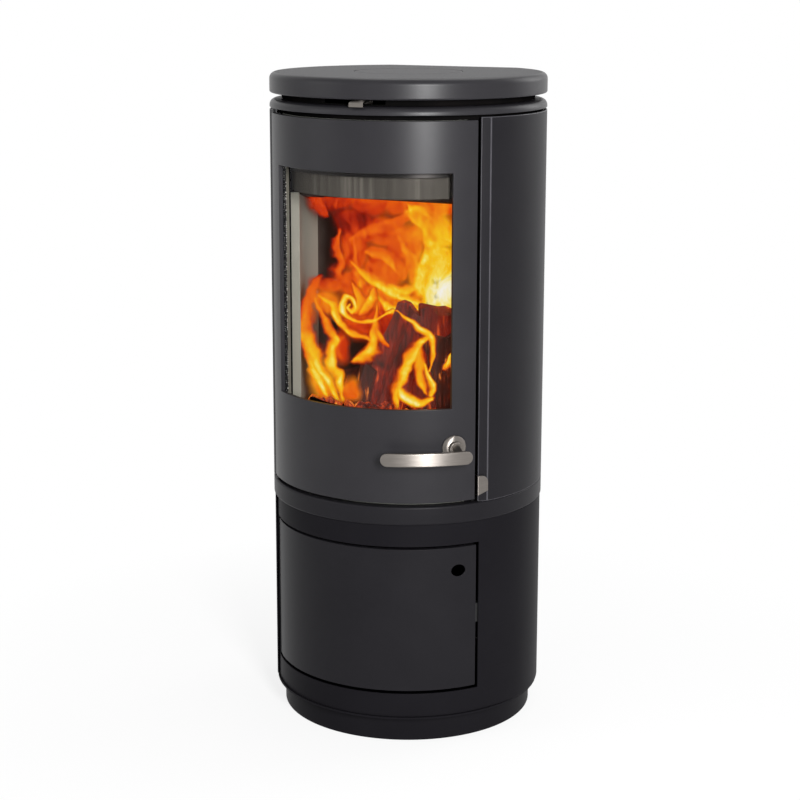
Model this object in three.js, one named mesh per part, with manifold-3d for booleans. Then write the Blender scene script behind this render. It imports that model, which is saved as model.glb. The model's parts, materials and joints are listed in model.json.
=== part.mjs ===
// A round wood stove on a pedestal that stores logs.
// Millimetres, +Z up. The stove faces -Y, its upright axis is the Z axis and it stands on z = 0.
// Plan angles are in degrees from the front and grow towards +X, the viewer's right.

import * as THREE from 'three';
import { mergeVertices } from 'three/addons/utils/BufferGeometryUtils.js';
import Module from 'manifold-3d';

const wasm = await Module();
wasm.setup();

// ---------------------------------------------------------------- driving dimensions

// Plan of the body: a circle whose back is cut flat, with a rounded corner at each end of the flat
const bodyRadius = 215;
const backFlat = 32;
const backCorner = 30;
const fullTurn = 360;

// Clearances
const seat = 0.3;
const pinClearance = 0.3;
const overcut = 2;
const facetAngle = 5;
const roundFacets = 16;
const wideRoundFacets = 36;

// The stack, from the floor up
const plinthHeight = 38.7;
const basePlateThickness = 3;
const shellHeight = 308.3;
const baseRingHeight = 28.7;
const fireBoxHeight = 577.1;
const fireBoxTopThickness = 7.4;
const collarHeight = 12.5;
const neckReveal = 9.5;
const topPlateHeight = 31;

// Plinth and base plate
const plinthInset = 15;
const plinthThickness = 8;
const basePlateInset = 2.5;

// Pedestal shell: one rolled sheet whose outer end laps over its inner end on the left
const shellInset = 1.5;
const shellFrontInset = 5.5;
const shellThickness = 2.5;
const lapInnerAngle = -61;
const lapOuterAngle = -58;
const shellBlendStart = 57;
const shellBlendEnd = 85;

// Pedestal door
const pedestalDoorLeft = -54.5;
const pedestalDoorRight = 55.4;
const pedestalDoorGap = 4.4;
const pedestalSillHeight = 41.7;
const pedestalHeadHeight = 39.6;
const pedestalDoorDrop = 1;
const pedestalDoorSkin = 2;
const pedestalDoorDepth = 12;
const pedestalHingeAngle = -52.8;
const pedestalHingeDepth = 6.5;
const pedestalPinRadius = 3;
const pedestalPinReach = 10;
const pedestalBracketThickness = 3.5;
const pedestalBracketHeight = 18;
const pedestalBracketLeft = -58.5;
const pedestalBracketRight = -50;
const magnetWidth = 16;
const magnetHeight = 30;
const magnetBelowDoorTop = 95;
const fingerHoleAngle = 47;
const fingerHoleBelowTop = 37;
const fingerHoleWidth = 23.5;
const fingerHoleHeight = 18.5;

// Base ring and its deck plate
const baseRingRim = 18;
const baseRingDeck = 9;
const baseRingRound = 3;

// Side panels and rear panel
const panelThickness = 6;
const panelNoseWidth = 15;
const panelNoseDrop = 4;
const panelTopGap = 3.5;
const panelEndAngle = 125;
const rearPanelThickness = 2;
const rearFlueGap = 2;
const ventCount = 5;
const ventLength = 120;
const ventHeight = 6;
const ventPitch = 14;
const firstVentAboveDeck = 40;
const screwShankRadius = 3;
const screwHeadRadius = 5.5;
const screwHeadHeight = 3.5;
const screwSpread = 88;
const screwMargin = 40;

// Stove door
const doorHalfAngle = 53.9;
const doorInset = 1.5;
const doorThickness = 7;
const doorBottomGap = 5.4;
const doorTopGap = 7.5;
const doorSideGap = 5.6;
const windowHalfAngle = 43.6;
const windowSillHeight = 149;
const windowHeadHeight = 80.5;
const hingeStileWidth = 11;
const hingeStileDepth = 5;
const hingeAngle = -52.2;
const hingePinRadius = 3;
const hingePinGrip = 13;
const hingePinRoot = 8;
const hingeShoulderRadius = 6;

// Door rope, glass rope, glass and its retainers
const sealDepth = 7.4;
const sealWidth = 7.6;
const sealSideMargin = 12.5;
const sealEndMargin = 3.5;
const glassRopeDepth = 2.8;
const glassRopeReveal = 3.2;
const glassThickness = 4;
const glassLap = 7;
const retainerHalfAngle = 40;
const retainerThickness = 3;
const retainerHeight = 28;
const retainerLap = 14;

// Fire box
const frameThickness = 6.5;
const frameHalfAngle = 50.8;
const frameOpeningHalfAngle = 47.5;
const frameBottomBar = 17.1;
const frameTopBar = 18;
const fireBoxWall = 5;
const rearSpace = 33;
const fireBoxCorner = 25;
const ledgeWidth = 12;
const ledgeHeight = 10;
const floorHeight = 86;
const floorThickness = 12;
const floorInset = 5.7;
const fireBoxTopInset = 17.5;

// Linings, baffle and deflector
const liningThickness = 16;
const sideLiningStartAngle = 58;
const sideLiningEndAngle = 96;
const cornerLiningGap = 4.3;
const backLiningGap = 6.8;
const baffleThickness = 20;
const baffleAngle = 12.5;
const baffleBelowTop = 174.1;
const baffleFrontSpace = 122;
const baffleMargin = 3;
const deflectorThickness = 2;
const deflectorStandOff = 3.7;
const deflectorHalfAngle = 45.5;
const deflectorHeight = 111;
const deflectorTopGap = 5;
const deflectorFlange = 3;

// Grate, log guard and ash pan
const grateRadius = 74.5;
const grateThickness = 8;
const grateLedge = 8;
const grateSlotWidth = 8;
const grateSlotPitch = 17;
const grateSlotCount = 7;
const grateRim = 12;
const guardInset = 10;
const guardThickness = 6;
const guardHalfAngle = 42;
const guardHeight = 38;
const panWidth = 190;
const panDepth = 215;
const panHeight = 46;
const panWall = 1.5;
const panCornerGap = 14.4;
const panGripWidth = 60;
const panGripReach = 14;
const railWidth = 14;
const railHeight = 18;
const railSpread = 68;
const railMargin = 8;

// Flue outlets
const flueBore = 70;
const flueWall = 5;
const flueTopMargin = 1.4;
const flueFlangeWidth = 9;
const flueFlangeThickness = 5;
const flueProjection = 57.2;
const topFlueBore = 72;
const topFlueWall = 4;
const lidRadius = 83.2;
const lidThickness = 6;
const lidGap = 1.2;

// Top plate, neck and collar
const topPlateThickness = 12;
const topPlateRim = 14;
const topPlateRound = 10;
const topPlateLowerRound = 3;
const neckInset = 19;
const neckThickness = 6;
const collarWidth = 27;
const collarRound = 10;

// Air-wash lever: a bent strip that turns about the stove's axis
const leverAngle = 4.6;
const leverTravel = 11;
const leverWidth = 22;
const leverThickness = 2.5;
const leverSlotMargin = 3;
const leverSlotSill = 2;
const leverSlotRise = 1;
const leverRiseGap = 9;
const leverTipReach = 2.5;
const leverLipHeight = 5.5;
const leverDrop = 3;
const slideMargin = 8;
const slideWidth = 28;
const slideHalfAngle = 20;
const slideThickness = 2;
const airHoleRadius = 4;
const airHoleStep = 8;

// Primary air tab: a bent blade in the gap at the right of the door
const airTabAboveDeck = 31.5;
const airTabHeight = 25;
const airTabWidth = 18;
const airTabThickness = 2.5;
const airTabStandOff = 3;
const airTabCorner = 8;
const airValveWidth = 24;
const airValveHeight = 24;
const airValveThickness = 3;
const airPortRadius = 7;
const airRestWidth = 10;
const airRestDepth = 8;
const airRestDoorGap = 2;

// Handle
const spindleAngle = 44;
const spindleAboveDoorFoot = 85;
const spindleRadius = 4.5;
const spindleTail = 22;
const rosetteRadius = 19;
const rosetteHeight = 6.5;
const hubRadius = 10.5;
const hubHeight = 5.4;
const shankRadius = 6;
const barStandOff = 30.5;
const barThickness = 6;
const barLength = 140;
const barHeight = 20.6;
const barDrop = 8.5;
const barOffset = -52.6;
const camThickness = 5;
const camHubRadius = 8;
const camArmLength = 22;
const camArmWidth = 8;
const camNoseReach = 8.5;
const keeperDepth = 5;
const keeperWidth = 10;
const keeperHeight = 18;

// ---------------------------------------------------------------- places worked out from them

const basePlateBottom = plinthHeight + seat;
const basePlateTop = basePlateBottom + basePlateThickness;
const shellBottom = basePlateTop + seat;
const shellTop = shellBottom + shellHeight;
const baseRingBottom = shellTop + seat;
const deckTop = baseRingBottom + baseRingHeight;
const fireBoxBottom = deckTop + seat;
const fireBoxTop = fireBoxBottom + fireBoxHeight;
const fireBoxLidBottom = fireBoxTop + seat;
const fireBoxLidTop = fireBoxLidBottom + fireBoxTopThickness;
const collarBottom = fireBoxLidTop + seat;
const collarTop = collarBottom + collarHeight;
const topPlateBottom = collarTop + neckReveal;
const topPlateTop = topPlateBottom + topPlateHeight;
const topPlateUnderside = topPlateTop - topPlateThickness;

const backDepth = bodyRadius - backFlat;
const fireBoxBack = backDepth - rearSpace;
const doorBottom = deckTop + doorBottomGap;
const doorTop = collarBottom - doorTopGap;
const doorOuter = bodyRadius - doorInset;
const doorInner = doorOuter - doorThickness;
const windowBottom = doorBottom + windowSillHeight;
const windowTop = doorTop - windowHeadHeight;
const stileInner = doorInner - hingeStileDepth;
const hingeRadius = (doorOuter + stileInner) / 2;

const glassOuter = doorInner - seat - glassRopeDepth - seat;
const glassInner = glassOuter - glassThickness;
const glassHalfAngle = windowHalfAngle + angleOf(glassLap, glassOuter);
const glassBottom = windowBottom - glassLap;
const glassTop = windowTop + glassLap;
const sealOuter = doorInner - seat;
const sealInner = sealOuter - sealDepth;

const frameOuter = sealInner - seat;
const frameInner = frameOuter - frameThickness;
const fireBoxOuter = frameInner - seat;
const fireBoxInner = fireBoxOuter - fireBoxWall;
const frameOpeningBottom = fireBoxBottom + frameBottomBar;
const frameOpeningTop = fireBoxTop - frameTopBar;
const liningOuter = fireBoxInner - seat;
const liningInner = liningOuter - liningThickness;
const backLiningOuter = fireBoxBack - fireBoxWall - seat;
const backLiningInner = backLiningOuter - liningThickness;
const cornerLiningBack = fireBoxBack - fireBoxWall - cornerLiningGap;
const cornerLiningTurn = Math.acos(cornerLiningBack / liningOuter);
const cornerLiningEnd = fullTurn / 2 - THREE.MathUtils.radToDeg(cornerLiningTurn);
const backLiningHalfWidth = liningInner * Math.sin(cornerLiningTurn) - backLiningGap;
const baffleFront = baffleFrontSpace - frameInner;
const baffleBack = fireBoxTop - baffleBelowTop;
const panFront = -Math.sqrt((frameInner - panCornerGap) ** 2 - (panWidth / 2) ** 2);
const floorBottom = deckTop + floorHeight + seat;
const floorTop = floorBottom + floorThickness;
const liningBottom = floorTop + seat;
const flueFlangeRadius = flueBore + flueWall + flueFlangeWidth;
const flueHeight = fireBoxTop - flueFlangeRadius - flueTopMargin;
const flueReach = backDepth + flueProjection;

const panelInner = bodyRadius - panelThickness;
const panelStart = doorHalfAngle + angleOf(doorSideGap, bodyRadius);
const panelTop = collarBottom - panelTopGap;

const shellFrontOuter = bodyRadius - shellFrontInset;
const shellFrontInner = shellFrontOuter - shellThickness;
const pedestalDoorBottom = shellBottom + pedestalSillHeight;
const pedestalDoorTop = shellTop - pedestalHeadHeight;
const pedestalDoorOuter = shellFrontOuter - pedestalDoorDrop;
const pedestalDoorInner = pedestalDoorOuter - pedestalDoorDepth;
const pedestalHingeRadius = pedestalDoorOuter - pedestalHingeDepth;

const airTabAngle = (doorHalfAngle + panelStart) / 2;
const airTabMiddle = deckTop + airTabAboveDeck;
const spindleHeight = doorBottom + spindleAboveDoorFoot;
const barInner = doorOuter + barStandOff;
const spindleInner = doorInner - spindleTail;
const slideInnerRadius = bodyRadius - collarWidth - slideMargin - slideWidth;
const leverRiseRadius = bodyRadius - neckInset - neckThickness - leverRiseGap;

const bodyPlan = { radius: bodyRadius, back: backDepth, corner: backCorner };
const fireBoxPlan = { radius: fireBoxOuter, back: fireBoxBack, corner: fireBoxCorner };

// ---------------------------------------------------------------- finishes

const paintedCast = { color: 0x323235, roughness: 0.5, metalness: 0.3 };
const paintedSheet = { color: 0x2f2f32, roughness: 0.45, metalness: 0.3 };
const darkCast = { color: 0x1c1c1e, roughness: 0.7, metalness: 0.3 };
const bareSteel = { color: 0x6f7072, roughness: 0.45, metalness: 0.9 };
const brushedStainless = { color: 0xc9c6c2, roughness: 0.28, metalness: 1 };
const ceramicGlass = { color: 0xd8cfc4, roughness: 0.05, metalness: 0, transparent: true, opacity: 0.25 };
const knittedRope = { color: 0x1b1b1c, roughness: 0.95, metalness: 0 };
const liningBoard = { color: 0xa7a196, roughness: 0.9, metalness: 0 };
const magnetBlack = { color: 0x151515, roughness: 0.6, metalness: 0.1 };

// ---------------------------------------------------------------- shape tools

function angleOf(length, radius) {
  return THREE.MathUtils.radToDeg(length / radius);
}

function polar(radius, angle) {
  const turn = THREE.MathUtils.degToRad(angle);
  return new THREE.Vector2(radius * Math.sin(turn), -radius * Math.cos(turn));
}

// Stations are points along a plan line, each with its inward direction.
function arcStations(radius, from, to, centreX = 0, centreY = 0) {
  const steps = Math.max(2, Math.ceil(Math.abs(to - from) / facetAngle));
  const stations = [];
  for (let i = 0; i <= steps; i++) {
    const outward = polar(1, from + ((to - from) * i) / steps);
    const point = new THREE.Vector2(centreX + radius * outward.x, centreY + radius * outward.y);
    stations.push({ point, inward: outward.negate() });
  }
  return stations;
}

function insetPlan(plan, inset) {
  return { radius: plan.radius - inset, back: plan.back - inset, corner: plan.corner - inset };
}

// The plan line from one angle round the back to another, or the whole closed line.
function planStations(plan, from = null, to = null) {
  const cornerY = plan.back - plan.corner;
  const cornerX = Math.sqrt((plan.radius - plan.corner) ** 2 - cornerY ** 2);
  const halfTurn = fullTurn / 2;
  const turn = halfTurn - THREE.MathUtils.radToDeg(Math.atan2(cornerX, cornerY));
  const closed = from === null;
  const right = arcStations(plan.radius, closed ? -turn : from, turn);
  const rightCorner = arcStations(plan.corner, turn, halfTurn, cornerX, cornerY);
  const leftCorner = arcStations(plan.corner, halfTurn, fullTurn - turn, -cornerX, cornerY);
  if (closed) {
    return [...right, ...rightCorner.slice(1), ...leftCorner.slice(0, -1)];
  }
  const left = arcStations(plan.radius, fullTurn - turn, to);
  return [...right, ...rightCorner.slice(1), ...leftCorner, ...left.slice(1)];
}

function bufferBody(positions, index) {
  const geometry = new THREE.BufferGeometry();
  geometry.setAttribute('position', new THREE.Float32BufferAttribute(positions, 3));
  geometry.setIndex(index);
  return geometry;
}

function stationPositions(profile, stations) {
  const positions = [];
  for (const { point, inward } of stations) {
    for (const [inset, z] of profile) {
      positions.push(point.x + inward.x * inset, point.y + inward.y * inset, z);
    }
  }
  return positions;
}

function stationFaces(index, near, far, from, to) {
  index.push(near + from, near + to, far + to);
  index.push(near + from, far + to, far + from);
}

// A closed section of [inset, z] points swept along stations. An open sweep gets flat ends.
function sweep(section, stations, closed = false) {
  const outline = section.map(([inset, z]) => new THREE.Vector2(inset, z));
  const profile = THREE.ShapeUtils.isClockWise(outline) ? [...section].reverse() : section;
  const count = profile.length;
  const spans = closed ? stations.length : stations.length - 1;
  const index = [];
  for (let i = 0; i < spans; i++) {
    const far = ((i + 1) % stations.length) * count;
    for (let j = 0; j < count; j++) {
      stationFaces(index, i * count, far, j, (j + 1) % count);
    }
  }
  if (!closed) {
    const last = (stations.length - 1) * count;
    const flat = profile.map(([inset, z]) => new THREE.Vector2(inset, z));
    for (const [a, b, c] of THREE.ShapeUtils.triangulateShape(flat, [])) {
      index.push(c, b, a);
      index.push(last + a, last + b, last + c);
    }
  }
  return bufferBody(stationPositions(profile, stations), index);
}

// A solid whose edge follows a profile of [inset, z] points, from its top face down to its bottom face.
function slab(profile, stations) {
  const count = profile.length;
  const index = [];
  for (let i = 0; i < stations.length; i++) {
    const far = ((i + 1) % stations.length) * count;
    for (let j = 0; j < count - 1; j++) {
      stationFaces(index, i * count, far, j, j + 1);
    }
  }
  const plan = stations.map(({ point }) => point);
  for (const [a, b, c] of THREE.ShapeUtils.triangulateShape(plan, [])) {
    index.push(a * count, b * count, c * count);
    index.push(c * count + count - 1, b * count + count - 1, a * count + count - 1);
  }
  return bufferBody(stationPositions(profile, stations), index);
}

function rectangle(insetFrom, insetTo, zFrom, zTo) {
  return [[insetFrom, zFrom], [insetTo, zFrom], [insetTo, zTo], [insetFrom, zTo]];
}

function arcWall(inner, outer, zFrom, zTo, from, to) {
  return sweep(rectangle(0, outer - inner, zFrom, zTo), arcStations(outer, from, to));
}

function arcPoints(radius, from, to) {
  return arcStations(radius, from, to).map(({ point }) => point);
}

function extrudeUp(points, zFrom, zTo) {
  const options = { depth: zTo - zFrom, bevelEnabled: false };
  return new THREE.ExtrudeGeometry(new THREE.Shape(points), options).translate(0, 0, zFrom);
}

// An outline in the upright tangent plane, with x along the plan circle and y up, extruded outwards.
function extrudeOut(shape, from, to) {
  const options = { depth: to - from, bevelEnabled: false, curveSegments: roundFacets / 2 };
  return new THREE.ExtrudeGeometry(shape, options).rotateX(Math.PI / 2).translate(0, -from, 0);
}

function block(xFrom, xTo, yFrom, yTo, zFrom, zTo) {
  const box = new THREE.BoxGeometry(xTo - xFrom, yTo - yFrom, zTo - zFrom);
  return box.translate((xFrom + xTo) / 2, (yFrom + yTo) / 2, (zFrom + zTo) / 2);
}

function uprightRod(radius, zFrom, zTo, facets = roundFacets) {
  const rod = new THREE.CylinderGeometry(radius, radius, zTo - zFrom, facets);
  return rod.rotateX(Math.PI / 2).translate(0, 0, (zFrom + zTo) / 2);
}

function uprightRodBetween(radius, oneEnd, otherEnd) {
  return uprightRod(radius, Math.min(oneEnd, otherEnd), Math.max(oneEnd, otherEnd));
}

// A rod along -Y, the outward direction at the front.
function outwardRod(radius, from, to, facets = roundFacets) {
  const rod = new THREE.CylinderGeometry(radius, radius, to - from, facets);
  return rod.translate(0, -(from + to) / 2, 0);
}

function turnTo(geometry, angle) {
  return geometry.rotateZ(THREE.MathUtils.degToRad(angle));
}

// A profile of [radius, height] points turned about the Y axis.
function turned(profile, facets) {
  const points = profile.map(([radius, height]) => new THREE.Vector2(radius, height));
  points.push(points[0].clone());
  return new THREE.LatheGeometry(points, facets);
}

function stadium(length, height) {
  const end = (length - height) / 2;
  const shape = new THREE.Shape();
  shape.absarc(end, 0, height / 2, -Math.PI / 2, Math.PI / 2);
  shape.absarc(-end, 0, height / 2, Math.PI / 2, Math.PI * 1.5);
  return shape;
}

// The outline of a bent strip: its middle line offset to both sides, with mitred bends.
function stripOutline(line, thickness) {
  const sides = [[], []];
  line.forEach((point, i) => {
    const before = line[Math.max(i - 1, 0)];
    const after = line[Math.min(i + 1, line.length - 1)];
    const arriving = i > 0 ? point.clone().sub(before).normalize() : after.clone().sub(point).normalize();
    const leaving = i < line.length - 1 ? after.clone().sub(point).normalize() : arriving;
    const across = new THREE.Vector2(-arriving.y - leaving.y, arriving.x + leaving.x).normalize();
    const reach = thickness / 2 / across.dot(new THREE.Vector2(-arriving.y, arriving.x));
    sides[0].push(point.clone().addScaledVector(across, reach));
    sides[1].unshift(point.clone().addScaledVector(across, -reach));
  });
  return new THREE.Shape([...sides[0], ...sides[1]]);
}

function solidOf(geometry) {
  const bare = geometry.clone();
  bare.deleteAttribute('normal');
  bare.deleteAttribute('uv');
  const merged = mergeVertices(bare, 1e-4);
  const mesh = new wasm.Mesh({
    numProp: 3,
    vertProperties: new Float32Array(merged.attributes.position.array),
    triVerts: new Uint32Array(merged.index.array),
  });
  return new wasm.Manifold(mesh);
}

function geometryOf(solid) {
  const mesh = solid.getMesh();
  return bufferBody(Array.from(mesh.vertProperties), Array.from(mesh.triVerts));
}

function cut(geometry, ...tools) {
  return geometryOf(tools.reduce((rest, tool) => rest.subtract(solidOf(tool)), solidOf(geometry)));
}

function join(geometry, ...others) {
  return geometryOf(others.reduce((whole, other) => whole.add(solidOf(other)), solidOf(geometry)));
}

function meet(geometry, other) {
  return geometryOf(solidOf(geometry).intersect(solidOf(other)));
}

// A quarter round between two levels of an edge: [inset, z] points from the face in to the side.
function roundedEdge(radius, centreInset, centreZ, fromAngle, toAngle, steps) {
  const points = [];
  for (let i = 0; i <= steps; i++) {
    const angle = THREE.MathUtils.degToRad(fromAngle + ((toAngle - fromAngle) * i) / steps);
    points.push([centreInset - radius * Math.cos(angle), centreZ + radius * Math.sin(angle)]);
  }
  return points;
}

function addPiece(group, name, geometry, finish) {
  const piece = new THREE.Mesh(geometry, new THREE.MeshStandardMaterial({ ...finish, flatShading: true }));
  piece.name = name;
  group.add(piece);
  return piece;
}

function placeAt(piece, radius, angle, z) {
  const spot = polar(radius, angle);
  piece.position.set(spot.x, spot.y, z);
  return piece;
}

// ---------------------------------------------------------------- plinth and pedestal

function plinth() {
  const section = rectangle(plinthInset, plinthInset + plinthThickness, 0, plinthHeight);
  return sweep(section, planStations(bodyPlan), true);
}

function basePlate() {
  const profile = [[basePlateInset, basePlateTop], [basePlateInset, basePlateBottom]];
  return slab(profile, planStations(bodyPlan));
}

// The sheet keeps a smaller radius across the front and eases out to the full one past the door.
function shellStations() {
  const full = insetPlan(bodyPlan, shellInset);
  const front = arcStations(shellFrontOuter, lapInnerAngle, shellBlendStart);
  const blend = arcStations(1, shellBlendStart, shellBlendEnd).slice(1);
  blend.forEach((station, i) => {
    const share = THREE.MathUtils.smoothstep(i + 1, 0, blend.length);
    station.point.multiplyScalar(THREE.MathUtils.lerp(shellFrontOuter, full.radius, share));
  });
  return [...front, ...blend, ...planStations(full, shellBlendEnd, fullTurn + lapOuterAngle).slice(1)];
}

function pedestalShell() {
  const sheet = sweep(rectangle(0, shellThickness, shellBottom, shellTop), shellStations());
  const gapAngle = angleOf(pedestalDoorGap, shellFrontOuter);
  const opening = arcWall(
    shellFrontInner - shellThickness, shellFrontOuter + shellThickness,
    pedestalDoorBottom - pedestalDoorGap, pedestalDoorTop + pedestalDoorGap,
    pedestalDoorLeft - gapAngle, pedestalDoorRight + gapAngle,
  );
  return cut(sheet, opening);
}

// A folded leaf: a skin with a return all round, an oval finger hole and a hole at each end for its pins.
function pedestalDoor() {
  const returnAngle = angleOf(pedestalDoorSkin, pedestalDoorOuter);
  const leaf = arcWall(
    pedestalDoorInner, pedestalDoorOuter,
    pedestalDoorBottom, pedestalDoorTop,
    pedestalDoorLeft, pedestalDoorRight,
  );
  const pocket = arcWall(
    pedestalDoorInner - pedestalDoorSkin, pedestalDoorOuter - pedestalDoorSkin,
    pedestalDoorBottom + pedestalDoorSkin, pedestalDoorTop - pedestalDoorSkin,
    pedestalDoorLeft + returnAngle, pedestalDoorRight - returnAngle,
  );
  const oval = outwardRod(fingerHoleWidth / 2, pedestalDoorInner, bodyRadius);
  oval.scale(1, 1, fingerHoleHeight / fingerHoleWidth);
  oval.translate(0, 0, pedestalDoorTop - fingerHoleBelowTop);
  const holeRadius = pedestalPinRadius + pinClearance;
  const pinHole = uprightRod(holeRadius, pedestalDoorBottom - overcut, pedestalDoorTop + overcut);
  const axis = polar(pedestalHingeRadius, pedestalHingeAngle);
  return cut(leaf, pocket, turnTo(oval, fingerHoleAngle), pinHole.translate(axis.x, axis.y, 0));
}

// An angle bracket behind the shell, with the pin that the door turns on. Side is 1 above, -1 below.
function pedestalHinge(side) {
  const doorEnd = side > 0 ? pedestalDoorTop : pedestalDoorBottom;
  const near = doorEnd + side * (pedestalDoorGap + 1);
  const far = near + side * pedestalBracketThickness;
  const end = near + side * pedestalBracketHeight;
  const wall = shellFrontInner - seat;
  const tabInner = pedestalHingeRadius - 2 * pedestalPinRadius;
  const tab = arcWall(
    tabInner, wall, Math.min(near, far), Math.max(near, far), pedestalBracketLeft, pedestalBracketRight,
  );
  const leg = arcWall(
    wall - pedestalBracketThickness, wall,
    Math.min(near, end), Math.max(near, end),
    pedestalBracketLeft, pedestalBracketRight,
  );
  const tip = doorEnd - side * pedestalPinReach;
  const pin = uprightRodBetween(pedestalPinRadius, tip, far);
  const axis = polar(pedestalHingeRadius, pedestalHingeAngle);
  return join(tab, leg, pin.translate(axis.x, axis.y, 0));
}

function pedestalMagnet() {
  const outer = shellFrontInner - seat;
  const top = pedestalDoorTop - magnetBelowDoorTop;
  const from = pedestalDoorRight + angleOf(2 * seat, outer);
  return arcWall(pedestalDoorInner, outer, top - magnetHeight, top, from, from + angleOf(magnetWidth, outer));
}

// ---------------------------------------------------------------- base ring, panels and top

function baseRing() {
  const deckUnderside = deckTop - baseRingDeck;
  const profile = [
    ...roundedEdge(baseRingRound, baseRingRound, deckTop - baseRingRound, 90, 0, 2),
    ...roundedEdge(baseRingRound, baseRingRound, baseRingBottom + baseRingRound, 0, -90, 2),
    [baseRingRim, baseRingBottom],
    [baseRingRim, deckUnderside],
  ];
  const pinHole = uprightRod(hingePinRadius + pinClearance, deckTop - hingePinRoot - seat, deckTop + overcut);
  const axis = polar(hingeRadius, hingeAngle);
  return cut(slab(profile, planStations(bodyPlan)), pinHole.translate(axis.x, axis.y, 0));
}

// A curved panel whose leading edge is bevelled back towards the door.
function sidePanel() {
  const bevelEnd = panelStart + angleOf(panelNoseWidth, bodyRadius);
  const outline = [
    polar(bodyRadius - panelNoseDrop, panelStart),
    ...arcPoints(bodyRadius, bevelEnd, panelEndAngle),
    ...arcPoints(panelInner, panelEndAngle, panelStart),
  ];
  return extrudeUp(outline, fireBoxBottom, panelTop);
}

function mirrored(geometry) {
  const flipped = geometry.clone().scale(-1, 1, 1);
  const flat = flipped.index ? flipped.toNonIndexed() : flipped;
  const position = flat.attributes.position;
  const corner = new THREE.Vector3();
  const other = new THREE.Vector3();
  for (let i = 0; i < position.count; i += 3) {
    corner.fromBufferAttribute(position, i + 1);
    other.fromBufferAttribute(position, i + 2);
    position.setXYZ(i + 1, other.x, other.y, other.z);
    position.setXYZ(i + 2, corner.x, corner.y, corner.z);
  }
  return flat;
}

function screwSpots() {
  const low = fireBoxBottom + screwMargin;
  const high = panelTop - screwMargin;
  return [[-screwSpread, low], [screwSpread, low], [-screwSpread, high], [screwSpread, high]];
}

// A bent sheet round the back, with a flue hole, a row of vents and four screw holes.
function rearPanel() {
  const start = panelEndAngle + angleOf(seat, bodyRadius);
  const sheet = sweep(
    rectangle(0, rearPanelThickness, fireBoxBottom, panelTop),
    planStations(bodyPlan, start, fullTurn - start),
  );
  const flueHoleRadius = flueBore + flueWall + rearFlueGap;
  const flueHole = outwardRod(flueHoleRadius, -backDepth - overcut, -fireBoxBack, wideRoundFacets);
  const tools = [flueHole.translate(0, 0, flueHeight)];
  for (let i = 0; i < ventCount; i++) {
    const z = deckTop + firstVentAboveDeck + i * ventPitch;
    tools.push(block(-ventLength / 2, ventLength / 2, fireBoxBack, backDepth + overcut, z, z + ventHeight));
  }
  for (const [x, z] of screwSpots()) {
    const hole = outwardRod(screwShankRadius + pinClearance, -backDepth - overcut, -fireBoxBack, 12);
    tools.push(hole.translate(x, 0, z));
  }
  return cut(sheet, ...tools);
}

// A stand-off screw: its shank reaches the fire box and its head holds the rear panel.
function rearScrew() {
  const headBase = backDepth + seat;
  const profile = [
    [0, fireBoxBack + seat],
    [screwShankRadius, fireBoxBack + seat],
    [screwShankRadius, headBase],
    [screwHeadRadius, headBase],
    [screwHeadRadius, headBase + screwHeadHeight / 2],
    [screwHeadRadius / 2, headBase + screwHeadHeight],
    [0, headBase + screwHeadHeight],
  ];
  return turned(profile, 12);
}

function collar() {
  const section = [
    ...roundedEdge(collarRound, collarRound, collarTop - collarRound, 90, 0, 3),
    [0, collarBottom],
    [collarWidth, collarBottom],
    [collarWidth, collarTop],
  ];
  const pinHoleTop = collarBottom + hingePinRoot + seat;
  const pinHole = uprightRod(hingePinRadius + pinClearance, collarBottom - overcut, pinHoleTop);
  const axis = polar(hingeRadius, hingeAngle);
  return cut(sweep(section, planStations(bodyPlan), true), pinHole.translate(axis.x, axis.y, 0));
}

// A dark band with a slot at the front for the air-wash lever.
function neck() {
  const band = sweep(
    rectangle(neckInset, neckInset + neckThickness, collarTop + seat, topPlateUnderside - seat),
    planStations(bodyPlan),
    true,
  );
  const outer = bodyRadius - neckInset;
  const slotHalfAngle = leverTravel + angleOf(leverWidth / 2 + leverSlotMargin, outer - neckThickness);
  const slot = arcWall(
    outer - neckThickness - overcut, outer + overcut,
    collarTop + leverSlotSill, topPlateBottom + leverSlotRise,
    -slotHalfAngle, slotHalfAngle,
  );
  return cut(band, slot);
}

// A thick cast plate with a downturned rim and a rebated hole that the flue lid closes.
function topPlate() {
  const profile = [
    ...roundedEdge(topPlateRound, topPlateRound, topPlateTop - topPlateRound, 90, 0, 4),
    ...roundedEdge(topPlateLowerRound, topPlateLowerRound, topPlateBottom + topPlateLowerRound, 0, -90, 2),
    [topPlateRim, topPlateBottom],
    [topPlateRim, topPlateUnderside],
  ];
  const hole = uprightRod(topFlueBore, topPlateUnderside - overcut, topPlateTop + overcut, wideRoundFacets);
  const rebateBottom = topPlateTop - lidThickness - seat;
  const rebate = uprightRod(lidRadius + lidGap, rebateBottom, topPlateTop + overcut, wideRoundFacets);
  return cut(slab(profile, planStations(bodyPlan)), hole, rebate);
}

function flueLid() {
  return uprightRod(lidRadius, -lidThickness, 0, wideRoundFacets);
}

// ---------------------------------------------------------------- fire box

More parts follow.
